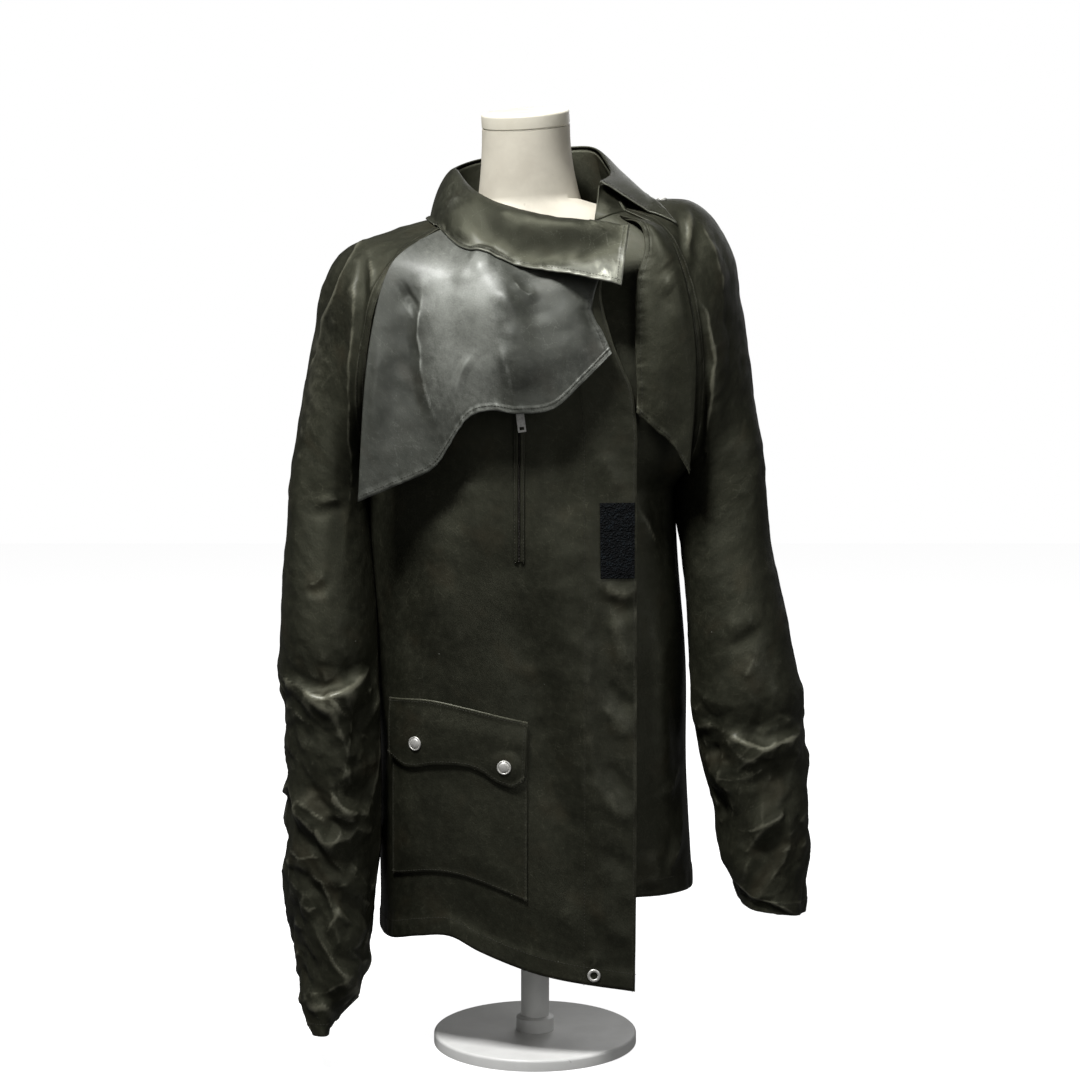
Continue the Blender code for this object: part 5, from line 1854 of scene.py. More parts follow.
@dataclass
class Back:
    """The back, in one piece from raglan seam to raglan seam."""

    casing: float = 20.0
    cut: tuple = (0.440, 0.780)

    def cloth(self) -> Cloth:
        """The back, dressed with its folds."""
        level, t = body_levels(110, 76), np.linspace(0, 1, 58)[None, :]
        right = back_half(SIDE_RIGHT, RAGLAN_RIGHT, t, level, -1.0)
        left = back_half(SIDE_LEFT, RAGLAN_LEFT, t, level, 1.0)
        cloth = Cloth(np.concatenate([right, left[:, -2::-1]], axis=1), turned=True)
        inner = ramp(cloth.from_edges(Side.START, Side.END, Side.LAST), 0, 24)
        cloth.swell(110, 4.0, 31, inner)
        cloth.fold(BACK_FOLDS, 32, inner)
        cloth.crumple(30, 0.8, 33, inner, 3)
        cloth.crumple(12, 0.15, 34, inner, 1)
        cloth.pucker(Side.FIRST, 26, 1.3, 11, 35)
        cloth.band(Side.FIRST, self.casing, 0.9)
        cloth.settle()
        return cloth


@dataclass
class Sleeve:
    """One raglan sleeve: a front and a back half that meet in an overarm and an underarm seam.

    Its crush says how far the forearm is crumpled: the most, and the heights where that starts
    and where it is reached. Below its snug height it lies close to the body.
    """

    name: str
    raglan: Table
    tube: Table
    front: tuple
    turned: bool
    seed: int
    crush: tuple
    cut: tuple
    snug: float
    welt: float = 9.0
    ridge: float = 3.2
    ridge_reach: float = 16.0
    ease_times: int = 260
    ease_reach: float = 85.0
    columns: int = 66

    def middle(self, z: float) -> float:
        """Where the sleeve's middle lies at this height."""
        rows = self.tube.rows[::-1]
        return float(np.interp(z, rows[:, 2], (rows[:, 1] + rows[:, 3]) / 2))

    def eased(self, points: np.ndarray) -> np.ndarray:
        """Eases the turn at the armpit, but for the seams.

        Args:
            points: the sleeve's points.

        Returns:
            The eased points.
        """
        easy = points
        for _ in range(self.ease_times):
            easy = averaged(easy, 0)
        seam = Cloth(points).from_edges(Side.START, Side.END)
        near = np.exp(-(((points[..., 2] - ARMPIT) / self.ease_reach) ** 2)) * ramp(seam, 0, 30)
        return points + (easy - points) * near[..., None]

    def cloth(self, form: BVHTree, body: BVHTree) -> Cloth:
        """The sleeve from the raglan seam of the front, over the arm, to that of the back.

        Args:
            form: the form, which it clears above the armpit.
            body: the front beside it, which it clears below.

        Returns:
            The sleeve, dressed with its folds.
        """
        level = np.concatenate([1 - raglan_shares(RAGLAN_ROWS)[::-1], np.linspace(1, 2, 230)[1:]])[:, None]
        u = np.linspace(0, 1, self.columns)[None, :]
        front = sleeve_half(self.raglan, self.tube, u, level, False)
        back = sleeve_half(self.raglan, self.tube, u, level, True)
        loft = np.concatenate([front[:, ::-1], back[:, 1:]], axis=1)
        cloth = Cloth(self.eased(loft), turned=self.turned)
        z = cloth.points[..., 2]
        seam = cloth.from_edges(Side.START, Side.END)
        inner = ramp(cloth.from_edges(Side.START, Side.END, Side.FIRST), 0, 20)
        most, start, full = self.crush
        crush = most * ramp(z, start, full)
        ridge = self.ridge * np.exp(-((seam / self.ridge_reach) ** 2))
        cloth.relief += ridge * ramp(z, self.snug, self.snug + 40) * ramp(z, ARMPIT, ARMPIT - 12)
        cloth.swell(85, 3.0, self.seed, inner)
        cloth.crumple(28, 6.5, self.seed + 1, inner * (0.09 + 0.91 * crush), 0)
        cloth.crumple(14, 2.2, self.seed + 2, inner * (0.22 + 0.78 * crush), 0)
        cloth.crumple(8.5, 0.8, self.seed + 3, inner * (0.4 + 0.6 * crush), 0)
        cloth.fold(self.front, self.seed + 4, inner * cloth.facing(-1))
        behind = [crease.turned(self.middle, 17) for crease in self.front]
        cloth.fold(behind, self.seed + 7, inner * cloth.facing(1))
        low = np.broadcast_to(level > 1.02, cloth.relief.shape)
        over = np.abs(cloth.across - cloth.across[:, self.columns - 1, None])
        cloth.relief -= 0.7 * np.exp(-((over / 1.2) ** 2)) * ~low
        for side in (Side.START, Side.END):
            cloth.pucker(side, 12, 0.7, 13, self.seed + 9)
            cloth.band(side, self.welt, 1.5, np.where(low, 0.0, 1.0))
        cloth.band(Side.LAST, 14.0, 0.9)
        # Painted sheen and painted shade on the sleeve's front.
        cloth.paint_light(SLEEVE_PAINTED_LIGHT, cloth.facing(-1))
        cloth.settle()
        cloth.clear(form, CLOTH + FORM_ROOM, ~low)
        cloth.clear(body, SLEEVE_ROOM, low)
        return cloth


@dataclass
class StormFlap:
    """A storm flap: a loose layer sewn in the neck and raglan seams, with a puckered hem."""

    name: str
    seam: Table
    front: Table
    hem: Table
    hem_from_seam: bool
    neckline: tuple
    creases: tuple
    turned: bool
    swell: float
    seed: int
    cut: tuple
    columns: int
    rows: int
    # painted sheen and painted shade on the flap, listed like creases
    sheen: tuple = ()
    band: float = 6.5

    def neck(self, share: np.ndarray) -> np.ndarray:
        """The front's neckline, from its front edge to its raglan seam."""
        return front_points(*self.neckline, None, 1 - share, np.full((1, 1), 2.0))

    def top(self, share: np.ndarray) -> np.ndarray:
        """The flap's neck edge, shifted so that it ends at the flap's own corners.

        Args:
            share: shares from the front to the seam.

        Returns:
            A point for each share.
        """
        zero, one = np.zeros((1, 1)), np.ones((1, 1))
        lead = self.front.points(zero) - self.neck(zero)
        trail = self.seam.points(zero) - self.neck(one)
        return self.neck(share) + lead + (trail - lead) * share[..., None]

    def foot(self, share: np.ndarray) -> np.ndarray:
        """The hem, from the front to the seam."""
        return self.hem.points(1 - share if self.hem_from_seam else share)

    def cloth(self, under: BVHTree) -> Cloth:
        """The flap, dressed with its folds.

        Args:
            under: the panels under it, which it clears.

        Returns:
            The flap.
        """
        u, v = grid(self.columns, self.rows)
        points = coons(self.front.points, self.seam.points, self.top, self.foot, u, v)
        points[..., 1] -= self.swell * np.sin(math.pi * u) * np.sin(math.pi * v)
        cloth = Cloth(points, turned=self.turned)
        sewn = ramp(cloth.from_edges(Side.END, Side.FIRST), 0, 14)
        cloth.swell(90, 0.8, self.seed, sewn)
        cloth.fold(self.creases, self.seed + 1, sewn)
        cloth.crumple(36, 0.3, self.seed + 4, sewn, 5)
        cloth.crumple(10, 0.07, self.seed + 5, sewn, 1)
        cloth.pucker(Side.LAST, 9, 1.7, 6.5, self.seed + 6)
        cloth.pucker(Side.START, 9, 1.5, 7.5, self.seed + 7)
        cloth.band(Side.LAST, self.band, 0.8)
        cloth.band(Side.START, self.band, 0.8)
        # Paints the flap's sheen and shade into its wear map.
        cloth.paint_light(self.sheen)
        cloth.settle()
        cloth.clear(under, CLOTH + PATCH_LIFT)
        return cloth


@dataclass
class Collar:
    """The collar: a stand round the neckline, and a fall that rolls over it to one long end."""

    columns: int = 320
    fall_rows: int = 38
    stand_rows: int = 20
    foot: float = 0.55
    lift: float = 1.15
    edge_stitch: float = 5.0
    fall_cut: tuple = (0.640, 0.090)
    stand_cut: tuple = (0.520, 0.075)

    def ring(self) -> tuple[np.ndarray, np.ndarray, np.ndarray, SimpleNamespace]:
        """Shares round the neckline, and the roll and free edge there."""
        at = np.linspace(0, 1, self.columns + 1)
        row = COLLAR.at(at)
        return at, xyz(row.roll_x, row.roll_y, row.roll_z), xyz(row.fall_x, row.fall_y, row.fall_z), row

    def stand(self, neckline: np.ndarray) -> Cloth:
        """The stand, from just over the neckline to just under the roll.

        Args:
            neckline: the points of the neckline, from the right front round to the left one.

        Returns:
            The stand, dressed.
        """
        at, roll, _, _ = self.ring()
        done = np.concatenate([[0], np.cumsum(np.linalg.norm(np.diff(neckline, axis=0), axis=1))])
        neck = np.stack([np.interp(at * done[-1], done, neckline[:, i]) for i in range(3)], axis=-1)
        up = roll - neck
        low = neck + up / np.linalg.norm(up, axis=-1, keepdims=True) * self.foot
        high = roll - xyz(0, 0, COLLAR_CLOTH + 2 * SEAT_GAP)
        t = np.linspace(0, 1, self.stand_rows + 1)[None, :, None]
        cloth = Cloth(low[:, None] + (high - low)[:, None] * t)
        middle = ramp(cloth.from_edges(), 0, 8)
        cloth.swell(34, 1.2, 71, middle)
        cloth.crumple(16, 0.5, 72, middle, 2)
        cloth.pucker(Side.START, 9, 0.7, 8, 73)
        cloth.settle()
        return cloth

    def fall(self, shoulders: BVHTree) -> Cloth:
        """The fall, from the roll out and down to its free edge.

        Args:
            shoulders: the panels under it, which it clears.

        Returns:
            The fall, dressed with its folds.
        """
        _, roll, free, row = self.ring()
        out = (free - roll) * np.array([1, 1, 0])
        out /= np.linalg.norm(out, axis=-1, keepdims=True)
        bulge = out * row.swell[:, None]
        t = np.linspace(0, 1, self.fall_rows + 1)[None, :, None]
        ends = (roll, roll + bulge, free * 0.6 + roll * 0.4 + bulge, free)
        points = bezier(*[end[:, None] for end in ends], t)
        cloth = Cloth(points, turned=True)
        cloth.points = cloth.points + cloth.normals() * COLLAR_CLOTH
        inner = ramp(cloth.from_edges(), 0, 10)
        cloth.swell(60, 0.8, 61, inner)
        cloth.fold(COLLAR_FRONT, 62, cloth.facing(-1))
        cloth.crumple(22, 0.22, 63, inner, 3)
        cloth.crumple(8, 0.06, 64, inner, 1)
        for side, seed in ((Side.END, 65), (Side.FIRST, 66), (Side.LAST, 67)):
            cloth.pucker(side, 8, 1.2, 6.5, seed)
            cloth.band(side, 6.0, 0.5)
        # Painted sheen and painted shade on the fall's front.
        cloth.paint_light(COLLAR_PAINTED_LIGHT, cloth.facing(-1))
        cloth.settle()
        cloth.clear(shoulders, COLLAR_CLOTH + self.lift)
        return cloth


@dataclass
class PatchPocket:
    """The patch pocket with its clipped flap, its two snap caps and its stitching."""

    bulge: float = 1.4
    snap_radius: float = 7.2
    snaps: tuple = (("outer", -122.0, 337.0), ("inner", -31.0, 317.0))
    pocket_cut: tuple = (0.142, 0.180)
    flap_cut: tuple = (0.142, 0.075)

    def bag(self, front: BVHTree) -> Cloth:
        """The pocket's own patch, sewn down on three sides."""
        cloth = laid(POCKET_TOP, POCKET_BOTTOM, front, PATCH_LIFT + PATCH_CLOTH, 62, 74)
        inner = ramp(cloth.from_edges(), 0, 24)
        cloth.relief += self.bulge * inner
        cloth.swell(40, 0.9, 81, inner)
        cloth.crumple(20, 0.35, 82, inner, 3)
        cloth.pucker(Side.LAST, 8, 0.5, 8, 83)
        cloth.pucker(Side.END, 8, 0.4, 9, 84)
        for side in (Side.START, Side.END, Side.LAST):
            cloth.band(side, 3.2, 0.35)
        cloth.settle()
        return cloth

    def flap(self, front: BVHTree) -> Cloth:
        """The flap over the pocket's mouth."""
        lift = PATCH_LIFT + 2 * PATCH_CLOTH + 2 * SEAT_GAP
        cloth = laid(POCKET_FLAP_TOP, POCKET_FLAP_BOTTOM, front, lift, 74, 34)
        low = ramp(cloth.inset(Side.FIRST), 0, 26)
        cloth.relief += (self.bulge + 0.6) * low
        cloth.swell(36, 0.6, 85, low)
        cloth.crumple(17, 0.3, 86, low, 2)
        cloth.pucker(Side.LAST, 7, 0.35, 8, 87)
        for side in Side:
            cloth.band(side, 4.0, 0.45)
        cloth.settle()
        return cloth

    def build(self, front: BVHTree, finishes: Finishes, stitching: Stitching) -> None:
        """Makes the pocket, its flap and its snaps."""
        bag, flap = self.bag(front), self.flap(front)
        for cloth, node, cut in ((bag, "pocket", self.pocket_cut), (flap, "pocket_flap", self.flap_cut)):
            obj = cloth.mesh(f"patch_{node}", PATCH_CLOTH, finishes.cotton, BODY_WEAR)
            hang(obj, "waxed_cotton", node)
        for side in (Side.START, Side.END, Side.LAST):
            stitching.sew(bag.trail(side, 2.2))
        for side in Side:
            stitching.sew(flap.trail(side, 3.0))
        over = flap.tree()
        for name, x, z in self.snaps:
            spot, normal = seen(over, x, z, TRIM_LIFT)
            cap = lathe(f"snap_cap_{name}", self.cap(), upright(spot, normal), finishes.nickel, 48)
            hang(cap, "nickel", f"snap_{name}")

    def cap(self) -> list:
        """A snap cap's profile: a low dome inside a rolled rim."""
        r = self.snap_radius
        rise, turn = np.linspace(0, math.pi / 2, 9), np.linspace(-1.2, 1.57, 7)
        dome = [(r * 0.78 * math.sin(a), 0.7 + 1.7 * math.cos(a)) for a in rise]
        rim = [(r - 0.75 + 0.75 * math.sin(a), 0.85 + 0.6 * math.cos(a)) for a in turn]
        return [*dome, *rim, (r, 0.0), (0.0, 0.0)]


@dataclass
class ChestZip:
    """The chest zip: two welts, rows of teeth in the slot, the slider and its hanging pull."""

    top_z: float = 686.0
    bottom_z: float = 524.0
    x: float = -15.6
    slot: float = 2.4
    welt_width: float = 4.2
    tooth_pitch: float = 1.5
    tooth: tuple = (1.5, 0.9, 0.8)
    slider: tuple = (8.0, 3.4, 11.0)
    hinge_rise: float = 1.6
    bridge_space: float = 2.2
    bridge_bar: float = 1.1
    pull_width: float = 8.2
    pull_bar: float = 1.4
    pull_tilt: float = math.radians(-7.0)

    def welt(self, near: int, front: BVHTree) -> Cloth:
        """One welt, a narrow fold of cloth beside the slot.

        Args:
            near: which side of the slot it lies on, -1 or 1.
            front: the front under it.

        Returns:
            The welt, dressed.
        """
        edge = self.x + near * self.slot / 2
        low, high = sorted((edge, edge + near * self.welt_width))
        top = Table("at x z", (0, low, self.top_z), (1, high, self.top_z))
        foot = Table("at x z", (0, low, self.bottom_z), (1, high, self.bottom_z))
        cloth = laid(top, foot, front, SEAT_GAP + PATCH_CLOTH, 8, 90)
        side = Side.END if near < 0 else Side.START
        cloth.relief += 0.5 * np.exp(-((cloth.inset(side) - 1.0) ** 2))
        cloth.swell(12, 0.2, 91 + near)
        cloth.settle()
        return cloth

    def build(self, front: BVHTree, finishes: Finishes, stitching: Stitching) -> None:
        """Makes the zip."""
        for near, name in ((-1, "outer"), (1, "inner")):
            welt = self.welt(near, front)
            obj = welt.mesh(f"zip_fold_{name}", PATCH_CLOTH, finishes.cotton, 0.0)
            hang(obj, "waxed_cotton", f"zip_welt_{name}")
            stitching.sew(welt.trail(Side.START if near < 0 else Side.END, 0.9))
        self.teeth(front, finishes)
        self.metal(finishes)

    def teeth(self, front: BVHTree, finishes: Finishes) -> None:
        """Sets two rows of teeth along the slot with a node tree."""
        heights = np.arange(self.bottom_z + 1, self.top_z - 1, 3.0)
        points = [tuple(seen(front, self.x, z, 0.5)[0] * MM) for z in heights]
        edges = [(i, i + 1) for i in range(len(points) - 1)]
        tree = Copier("teeth", "Pitch")
        sockets = {"Curve": tree.curve, "Length": tree.given["Pitch"]}
        spread = tree.node("GeometryNodeResampleCurve", {"mode": "LENGTH"}, sockets)
        tooth = tree.node("GeometryNodeMeshCube", {}, {"Size": tuple(size * MM for size in self.tooth)})
        tree.copy(finishes.zip_metal, Points=spread["Curve"], Instance=tooth["Mesh"])
        teeth = tree.run("zip_teeth", points, edges, Pitch=self.tooth_pitch)
        hang(teeth, "dark_zip_metal", "zip_chain")

    def metal(self, finishes: Finishes) -> None:
        """Makes the slider with its bridge, and the pull that hangs on it."""
        low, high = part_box("zip_slider")
        wide, deep, tall = self.slider
        face_y = low.y / MM + self.bridge_space + self.bridge_bar
        centre = Vector((self.x, face_y + deep / 2, (low.z + high.z) / 2 / MM))
        out, bar = self.bridge_space + self.bridge_bar, self.bridge_bar
        bridge = Vector((self.x, face_y - out + bar / 2, centre.z))
        pieces = [(centre, (wide, deep, tall)), (bridge, (1.6, bar, 8.2))]
        for way in (-1, 1):
            post = Vector((self.x, face_y - out / 2 + 0.3, centre.z + way * 3.55))
            pieces.append((post, (1.6, out + 0.6, bar)))
        slider = joined("slider", [block(size, place, 0.45) for place, size in pieces], finishes.nickel)
        hang(slider, "nickel", "zip_slider")
        hinge = Vector((self.x, face_y - self.bridge_space / 2, centre.z + self.hinge_rise))
        half = self.pull_width / 2
        rails = [((half + 1.7) / 2 * way, -3.5, half - 1.7, 8.4) for way in (-1, 1)]
        parts = [*rails, (0, 0, self.pull_width, self.pull_bar), (0, -14.2, self.pull_width, 13.6)]
        parts += [((half + 2.3) / 2 * way, -22.5, half - 2.3, 4.4) for way in (-1, 1)]
        parts.append((0, -25.2, self.pull_width, 2.2))
        shapes = [block((w, self.pull_bar, h), Vector((x, 0, z)), 0.35) for x, z, w, h in parts]
        pull = joined("pull_tab", shapes, finishes.nickel)
        turn = Matrix.Rotation(self.pull_tilt, 4, "Y")
        pull.data.transform(Matrix.Translation(hinge * MM) @ turn)
        hang(pull, "nickel", "zip_pull", body=PULL)


def block(size: Sequence[float], place: Vector, edge: float) -> bmesh.types.BMesh:
    """A box with softened edges.

    Args:
        size: its three sides, in millimetres.
        place: its middle.
        edge: how far its edges are softened.

    Returns:
        The box, in millimetres.
    """
    shape = bmesh.new()
    matrix = Matrix.Translation(place) @ Matrix.Diagonal((*size, 1))
    bmesh.ops.create_cube(shape, size=1.0, matrix=matrix)
    soft = min(edge, min(size) * 0.4)
    bmesh.ops.bevel(shape, geom=shape.edges[:], offset=soft, segments=2, affect="EDGES")
    return shape


def joined(name: str, shapes: Iterable[bmesh.types.BMesh], finish: bpy.types.Material) -> bpy.types.Object:
    """One object of several shapes.

    Args:
        name: the object's name.
        shapes: the shapes, in millimetres.
        finish: the material.

    Returns:
        The object, in metres.
    """
    whole = bmesh.new()
    for shape in shapes:
        part = bpy.data.meshes.new("part")
        shape.to_mesh(part)
        shape.free()
        whole.from_mesh(part)
        bpy.data.meshes.remove(part)
    mesh = bpy.data.meshes.new(name)
    whole.to_mesh(mesh)
    whole.free()
    mesh.transform(Matrix.Scale(MM, 4))
    mesh.shade_smooth()
    mesh.set_sharp_from_angle(angle=math.radians(40))
    mesh.materials.append(finish)
    return linked(name, mesh)


@dataclass
class HookSquare:
    """The hook-and-loop square near the front edge, sewn round its border."""

    cut: tuple = (0.036, 0.076)
    border: float = 4.0

    def build(self, front: BVHTree, finishes: Finishes) -> None:
        """Makes the square with its pile."""
        cloth = laid(HOOK_TOP, HOOK_BOTTOM, front, SEAT_GAP + PATCH_CLOTH, 46, 96)
        inner = ramp(cloth.from_edges(), 1.5, self.border)
        cloth.relief += 0.35 * inner + 0.5 * inner * drift(cloth.points, 2.4, 95, 2)
        cloth.settle()
        obj = cloth.mesh("hook_square", PATCH_CLOTH, finishes.pile, 0.0)
        hang(obj, "hook_and_loop", "hook_tape")


@dataclass
class Trim:
    """The eyelet at the hem and the stud on the left shoulder."""

    eyelet: tuple = (60.0, 102.5)
    radius: float = 5.2
    wire: float = 1.5
    stud: tuple = (131.0, -14.0)
    stud_profile: tuple = (5.0, 0, 2.4, 1.6)
    sides: int = 40

    def build(self, front: BVHTree, shoulder: BVHTree, finishes: Finishes) -> None:
        """Makes both."""
        place = upright(*seen(front, *self.eyelet, TRIM_LIFT))
        turn = [math.tau * i / 14 for i in range(15)]
        ring = [(self.radius + self.wire * math.sin(a), 0.8 + 0.9 * math.cos(a)) for a in turn]
        hang(lathe("eyelet_ring", ring, place, finishes.nickel, self.sides), "nickel", "eyelet")
        spot, normal, _, _ = shoulder.ray_cast(Vector((*self.stud, BEYOND)), Vector((0, 0, -1)))
        place = upright(spot + normal * TRIM_LIFT, normal)
        stud = lathe("stud", rounded(*self.stud_profile), place, finishes.nickel, self.sides)
        hang(stud, "nickel", "shoulder_stud")


@dataclass
class Coat:
    """The whole coat: its panels in the order in which they lie over each other."""

    fronts: Fronts = field(default_factory=Fronts)
    back: Back = field(default_factory=Back)
    collar: Collar = field(default_factory=Collar)

    def sleeves(self) -> tuple[Sleeve, Sleeve]:
        """The two sleeves."""
        right = Sleeve(
            "right", RAGLAN_RIGHT, TUBE_RIGHT, SLEEVE_R_FRONT, False, 41,
            (1.0, 440, 380), (0.400, 0.900), 190.0,
        )
        left = Sleeve(
            "left", RAGLAN_LEFT, TUBE_LEFT, SLEEVE_L_FRONT, True, 51,
            (0.6, 420, 350), (0.400, 0.780), 530.0,
        )
        return right, left

    def flaps(self) -> tuple[StormFlap, StormFlap]:
        """The two storm flaps."""
        right = StormFlap(
            "right", FLAP_RIGHT_SEAM, FLAP_RIGHT_FRONT, FLAP_RIGHT_HEM, True,
            (SIDE_RIGHT, RAGLAN_RIGHT, EDGE_RIGHT), FLAP_RIGHT,
            False, 5.0, 101, (0.290, 0.310), 150, 140, FLAP_PAINTED_LIGHT,
        )
        left = StormFlap(
            "left", FLAP_LEFT_SEAM, FLAP_LEFT_FRONT, FLAP_LEFT_HEM, False,
            (SIDE_LEFT, RAGLAN_LEFT, EDGE_LEFT), FLAP_LEFT,
            True, 3.0, 111, (0.075, 0.290), 34, 120,
        )
        return right, left

    def build(self, form: BVHTree, finishes: Finishes, stitching: Stitching) -> None:
        """Makes every piece of the coat.

        Args:
            form: the form's outer faces.
            finishes: the materials.
            stitching: what the coat is sewn with.
        """
        body = [self.fronts.right(), self.fronts.left(), self.back.cloth()]
        for cloth in body:
            cloth.clear(form, CLOTH + FORM_ROOM, cloth.points[..., 2] > SHOULDER)
        trees = [cloth.tree() for cloth in body]
        arms = []
        for sleeve, front_tree in zip(self.sleeves(), trees):
            arm = sleeve.cloth(form, front_tree)
            behind = (arm.points[..., 2] < UNDER_ARMPIT) & (arm.points[..., 1] > 0)
            arm.clear(trees[2], BACK_ROOM, behind)
            arms.append(arm)
        names = ("right_front", "left_front", "back_panel")
        cuts = (self.fronts.right_cut, self.fronts.left_cut, self.back.cut)
        for name, cloth, cut, node in zip(names, body, cuts, ("front_right", "front_left", "back")):
            self.piece(name, cloth, finishes.cotton, cut, node)
        for sleeve, arm in zip(self.sleeves(), arms):
            nodes = (f"sleeve_{sleeve.name}_front", f"sleeve_{sleeve.name}_back")
            self.piece(f"{sleeve.name}_sleeve", arm, finishes.worn, sleeve.cut, *nodes)
        flaps = []
        # The right storm flap takes the lighter copy that paints its sheen; the left one takes the worn
        # cloth.
        for flap, front, arm, finish in zip(self.flaps(), body, arms, (finishes.painted_sheen_flap, finishes.worn)):
            cloth = flap.cloth(tree_of([front, arm]))
            self.piece(f"{flap.name}_storm_flap", cloth, finish, flap.cut, f"storm_flap_{flap.name}")
            inset = flap.band - FLAP_STITCH
            stitching.sew(cloth.trail(Side.LAST, inset), cloth.trail(Side.START, inset))
            flaps.append(cloth)
        self.collar_pieces(body, arms, flaps, finishes, stitching)
        self.seams(body, arms, stitching)
        PatchPocket().build(trees[0], finishes, stitching)
        ChestZip().build(trees[0], finishes, stitching)
        HookSquare().build(trees[0], finishes)
        Trim().build(trees[0], arms[1].tree(), finishes)

    def collar_pieces(
        self, body: list, arms: list, flaps: list, finishes: Finishes, stitching: Stitching
    ) -> None:
        """Makes the collar's stand and fall.

        Args:
            body: the right front, the left front and the back.
            arms: the right and the left sleeve.
            flaps: the right and the left storm flap.
            finishes: the materials.
            stitching: what its edges are sewn with.
        """
        right, left, back = [cloth.points[-1] for cloth in body]
        line = [right[::-1], arms[0].points[0], back, arms[1].points[0][::-1], left]
        collar = self.collar
        stand = collar.stand(np.concatenate(line))
        fall = collar.fall(tree_of([*body, *arms, *flaps]))
        cotton, rolled, thick = finishes.cotton, finishes.rolled, COLLAR_CLOTH
        self.piece("neck_stand", stand, cotton, collar.stand_cut, "collar_stand", thick=thick)
        # The fall takes the lighter copy that carries its painted sheen.
        self.piece("turned_collar", fall, rolled, collar.fall_cut, "collar_fall", thick=thick)
        for side in (Side.END, Side.FIRST, Side.LAST):
            stitching.sew(fall.trail(side, collar.edge_stitch))

    def seams(self, body: list, arms: list, stitching: Stitching) -> None:
        """Sews the hems, the front edge and the raglan seams.

        Args:
            body: the right front, the left front and the back.
            arms: the right and the left sleeve.
            stitching: what they are sewn with.
        """
        for cloth in body:
            stitching.sew(cloth.trail(Side.FIRST, self.fronts.casing - HEM_STITCH))
        for inset in (3.0, self.fronts.facing - HEM_STITCH):
            stitching.sew(body[0].trail(Side.END, inset))
        for arm in arms:
            for side in (Side.START, Side.END):
                for inset in RAGLAN_STITCHES:
                    stitching.sew(arm.trail(side, inset)[:RAGLAN_ROWS])
            stitching.sew(arm.trail(Side.LAST, CUFF_STITCH))

    def piece(
        self,
        name: str,
        cloth: Cloth,
        finish: bpy.types.Material,
        cut: tuple,
        *nodes: str,
        thick: float = CLOTH,
    ) -> None:
        """Makes one sheet of the coat.

        Args:
            name: the sheet's name.
            cloth: its surface.
            finish: its material.
            cut: the width and length that it was cut to, in metres.
            nodes: the CAD nodes that it stands for.
            thick: how thick its wall is, in millimetres.
        """
        wear = SLEEVE_WEAR if name.endswith("sleeve") else BODY_WEAR
        obj = hang(cloth.mesh(name, thick, finish, wear), "waxed_cotton", *nodes)
        area = float(surface(cloth.points)) * MM * MM
        LOG.info("%s: about %.0f x %.0f mm", name, cloth.across[:, -1].max(), cloth.along[-1].max())
        share = min(1.0, area / (cut[0] * cut[1]))
        area = round(share * cut[0] * cut[1], 4)


def surface(points: np.ndarray) -> float:
    """The area of a grid of points."""
    across, down = np.diff(points, axis=1)[:-1], np.diff(points, axis=0)[:, :-1]
    return np.linalg.norm(np.cross(across, down), axis=-1).sum()


def tree_of(cloths: Sequence[Cloth]) -> BVHTree:
    """A search tree over several panels.

    Args:
        cloths: the panels.

    Returns:
        A tree of their outer faces.
    """
    points, faces, first = [], [], 0
    for cloth in cloths:
        rows, columns = cloth.relief.shape
        points.append(cloth.points.reshape(-1, 3))
        faces.append(faces_of(rows, columns, cloth.turned) + first)
        first += rows * columns
    return BVHTree.FromPolygons(np.concatenate(points).tolist(), np.concatenate(faces).tolist())


@dataclass(frozen=True)
class Softbox:
    """One square soft light: where it hangs, what it faces, its size and its power."""

    name: str
    place: tuple
    aim: tuple
    size: float
    power: float

    def build(self) -> None:
        """Hangs the light."""
        lamp = bpy.data.lights.new(self.name, "AREA")
        lamp.size, lamp.energy = self.size, self.power
        obj = bpy.data.objects.new(self.name, lamp)
        obj.location = self.place
        obj.rotation_euler = (Vector(self.place) - Vector(self.aim)).to_track_quat("Z", "Y").to_euler()
        bpy.context.scene.collection.objects.link(obj)


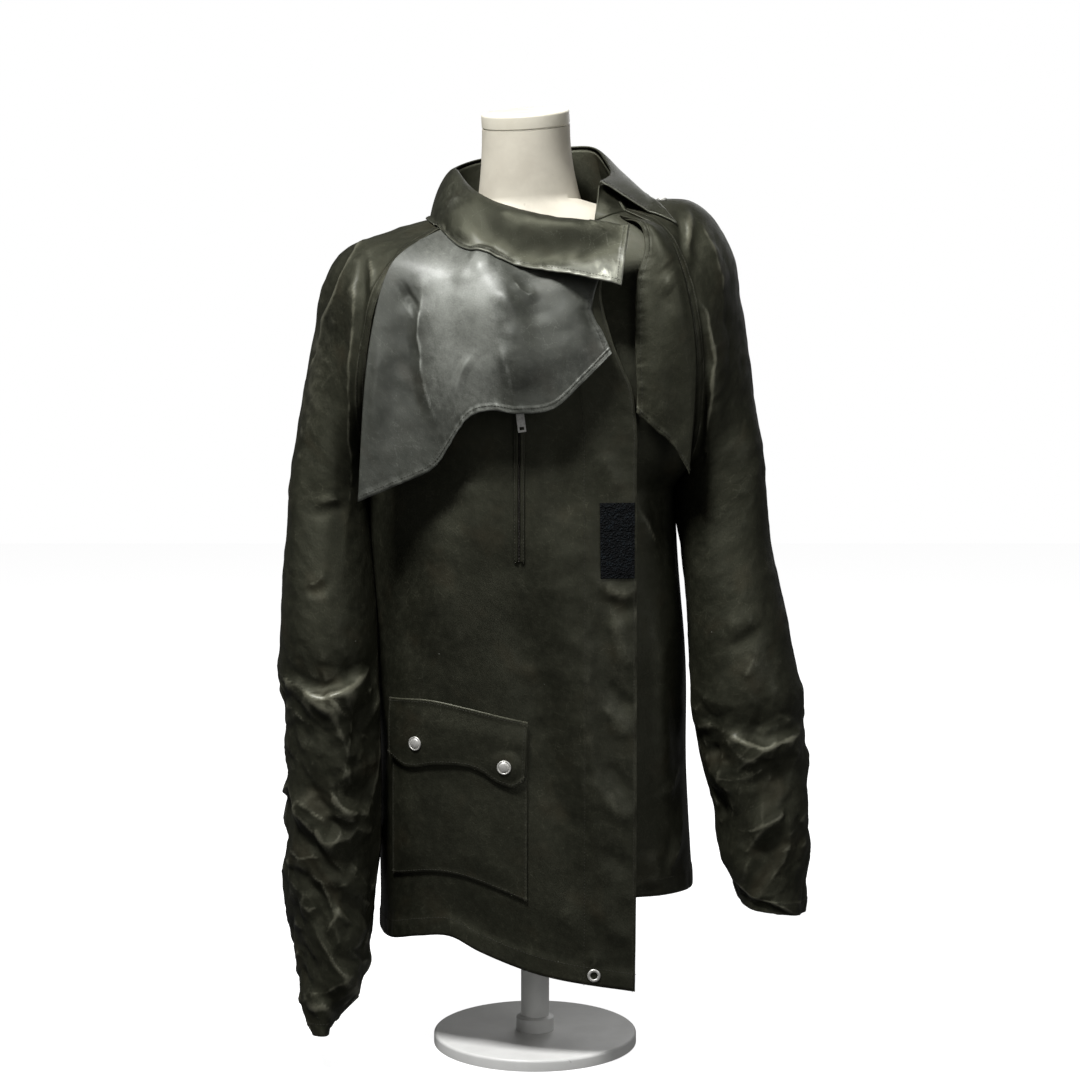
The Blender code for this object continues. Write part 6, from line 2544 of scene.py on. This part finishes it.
@dataclass
class Studio:
    """A plain pale floor, soft light from the front and above, and the camera."""

    target: tuple = (0.00525, 0.0, 0.537)
    distance: float = 2.4
    elevation: float = math.radians(5.0)
    lens: float = 76.19
    floor_half: float = 6.0
    floor_z: float = -0.0005
    floor_grey: float = 0.6
    surround: float = 0.08
    lights: tuple = (
        Softbox("key", (-0.72, -1.2, 2.86), (0.0, -0.1, 0.75), 0.55, 108.0),
        Softbox("fill", (1.6, -1.9, 1.2), (0.0, -0.1, 0.5), 1.6, 11.0),
        Softbox("rear", (0.9, 2.5, 1.9), (0.0, 0.1, 0.55), 1.8, 20.0),
    )

    def floor(self) -> bpy.types.Object:
        """The floor, which glows a little so that it looks white."""
        glow = {"Emission_Color": (1, 1, 1, 1), "Emission_Strength": 0.9}
        colour = (self.floor_grey, self.floor_grey, self.floor_grey, 1)
        finish = Board("pale_floor").finish(Base_Color=colour, Roughness=0.9, **glow)
        mesh = bpy.data.meshes.new("floor")
        far = self.floor_half
        corners = [(x, y, self.floor_z) for x, y in ((-far, -far), (far, -far), (far, far), (-far, far))]
        mesh.from_pydata(corners, [], [(0, 1, 2, 3)])
        mesh.materials.append(finish)
        obj = linked("floor", mesh)
        obj.visible_diffuse = obj.visible_glossy = False
        return obj

    def build(self) -> None:
        """Sets the floor, the lights, the world and the camera."""
        self.floor()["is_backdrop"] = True
        for light in self.lights:
            light.build()
        self.sky()
        camera = bpy.data.cameras.new("camera")
        camera.lens = self.lens
        obj = bpy.data.objects.new("camera", camera)
        back = Vector((0, -math.cos(self.elevation), math.sin(self.elevation)))
        obj.location = Vector(self.target) + back * self.distance
        obj.rotation_euler = back.to_track_quat("Z", "Y").to_euler()
        bpy.context.scene.collection.objects.link(obj)
        bpy.context.scene.camera = obj
        bpy.context.scene.view_settings.view_transform = "Standard"

    def sky(self) -> None:
        """A white surround that is seen as white and lights the coat only a little."""
        world = bpy.data.worlds.new("surround")
        bpy.context.scene.world = world
        world.use_nodes = True
        nodes, link = world.node_tree.nodes, world.node_tree.links.new
        path, strength = nodes.new("ShaderNodeLightPath"), nodes.new("ShaderNodeMapRange")
        strength.inputs["To Min"].default_value = self.surround
        strength.inputs["To Max"].default_value = 1.0
        link(path.outputs["Is Camera Ray"], strength.inputs["Value"])
        nodes["Background"].inputs["Color"].default_value = (1, 1, 1, 1)
        link(strength.outputs["Result"], nodes["Background"].inputs["Strength"])


def main() -> None:
    """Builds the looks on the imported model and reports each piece."""
    logging.basicConfig(level=logging.INFO, format="%(message)s")
    for obj in list(bpy.data.objects):
        bpy.data.objects.remove(obj)
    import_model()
    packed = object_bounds()
    finishes, stitching, form = Finishes(), Stitching(), DressForm()
    form.build(finishes)
    Coat().build(form.tree(), finishes, stitching)
    stitching.build(finishes.thread)
    Studio().build()
    boxes = {"packed": packed, "looks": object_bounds()}
    boxes = {name: [list(corner) for corner in box] for name, box in boxes.items()}


if __name__ == "__main__":
    main()
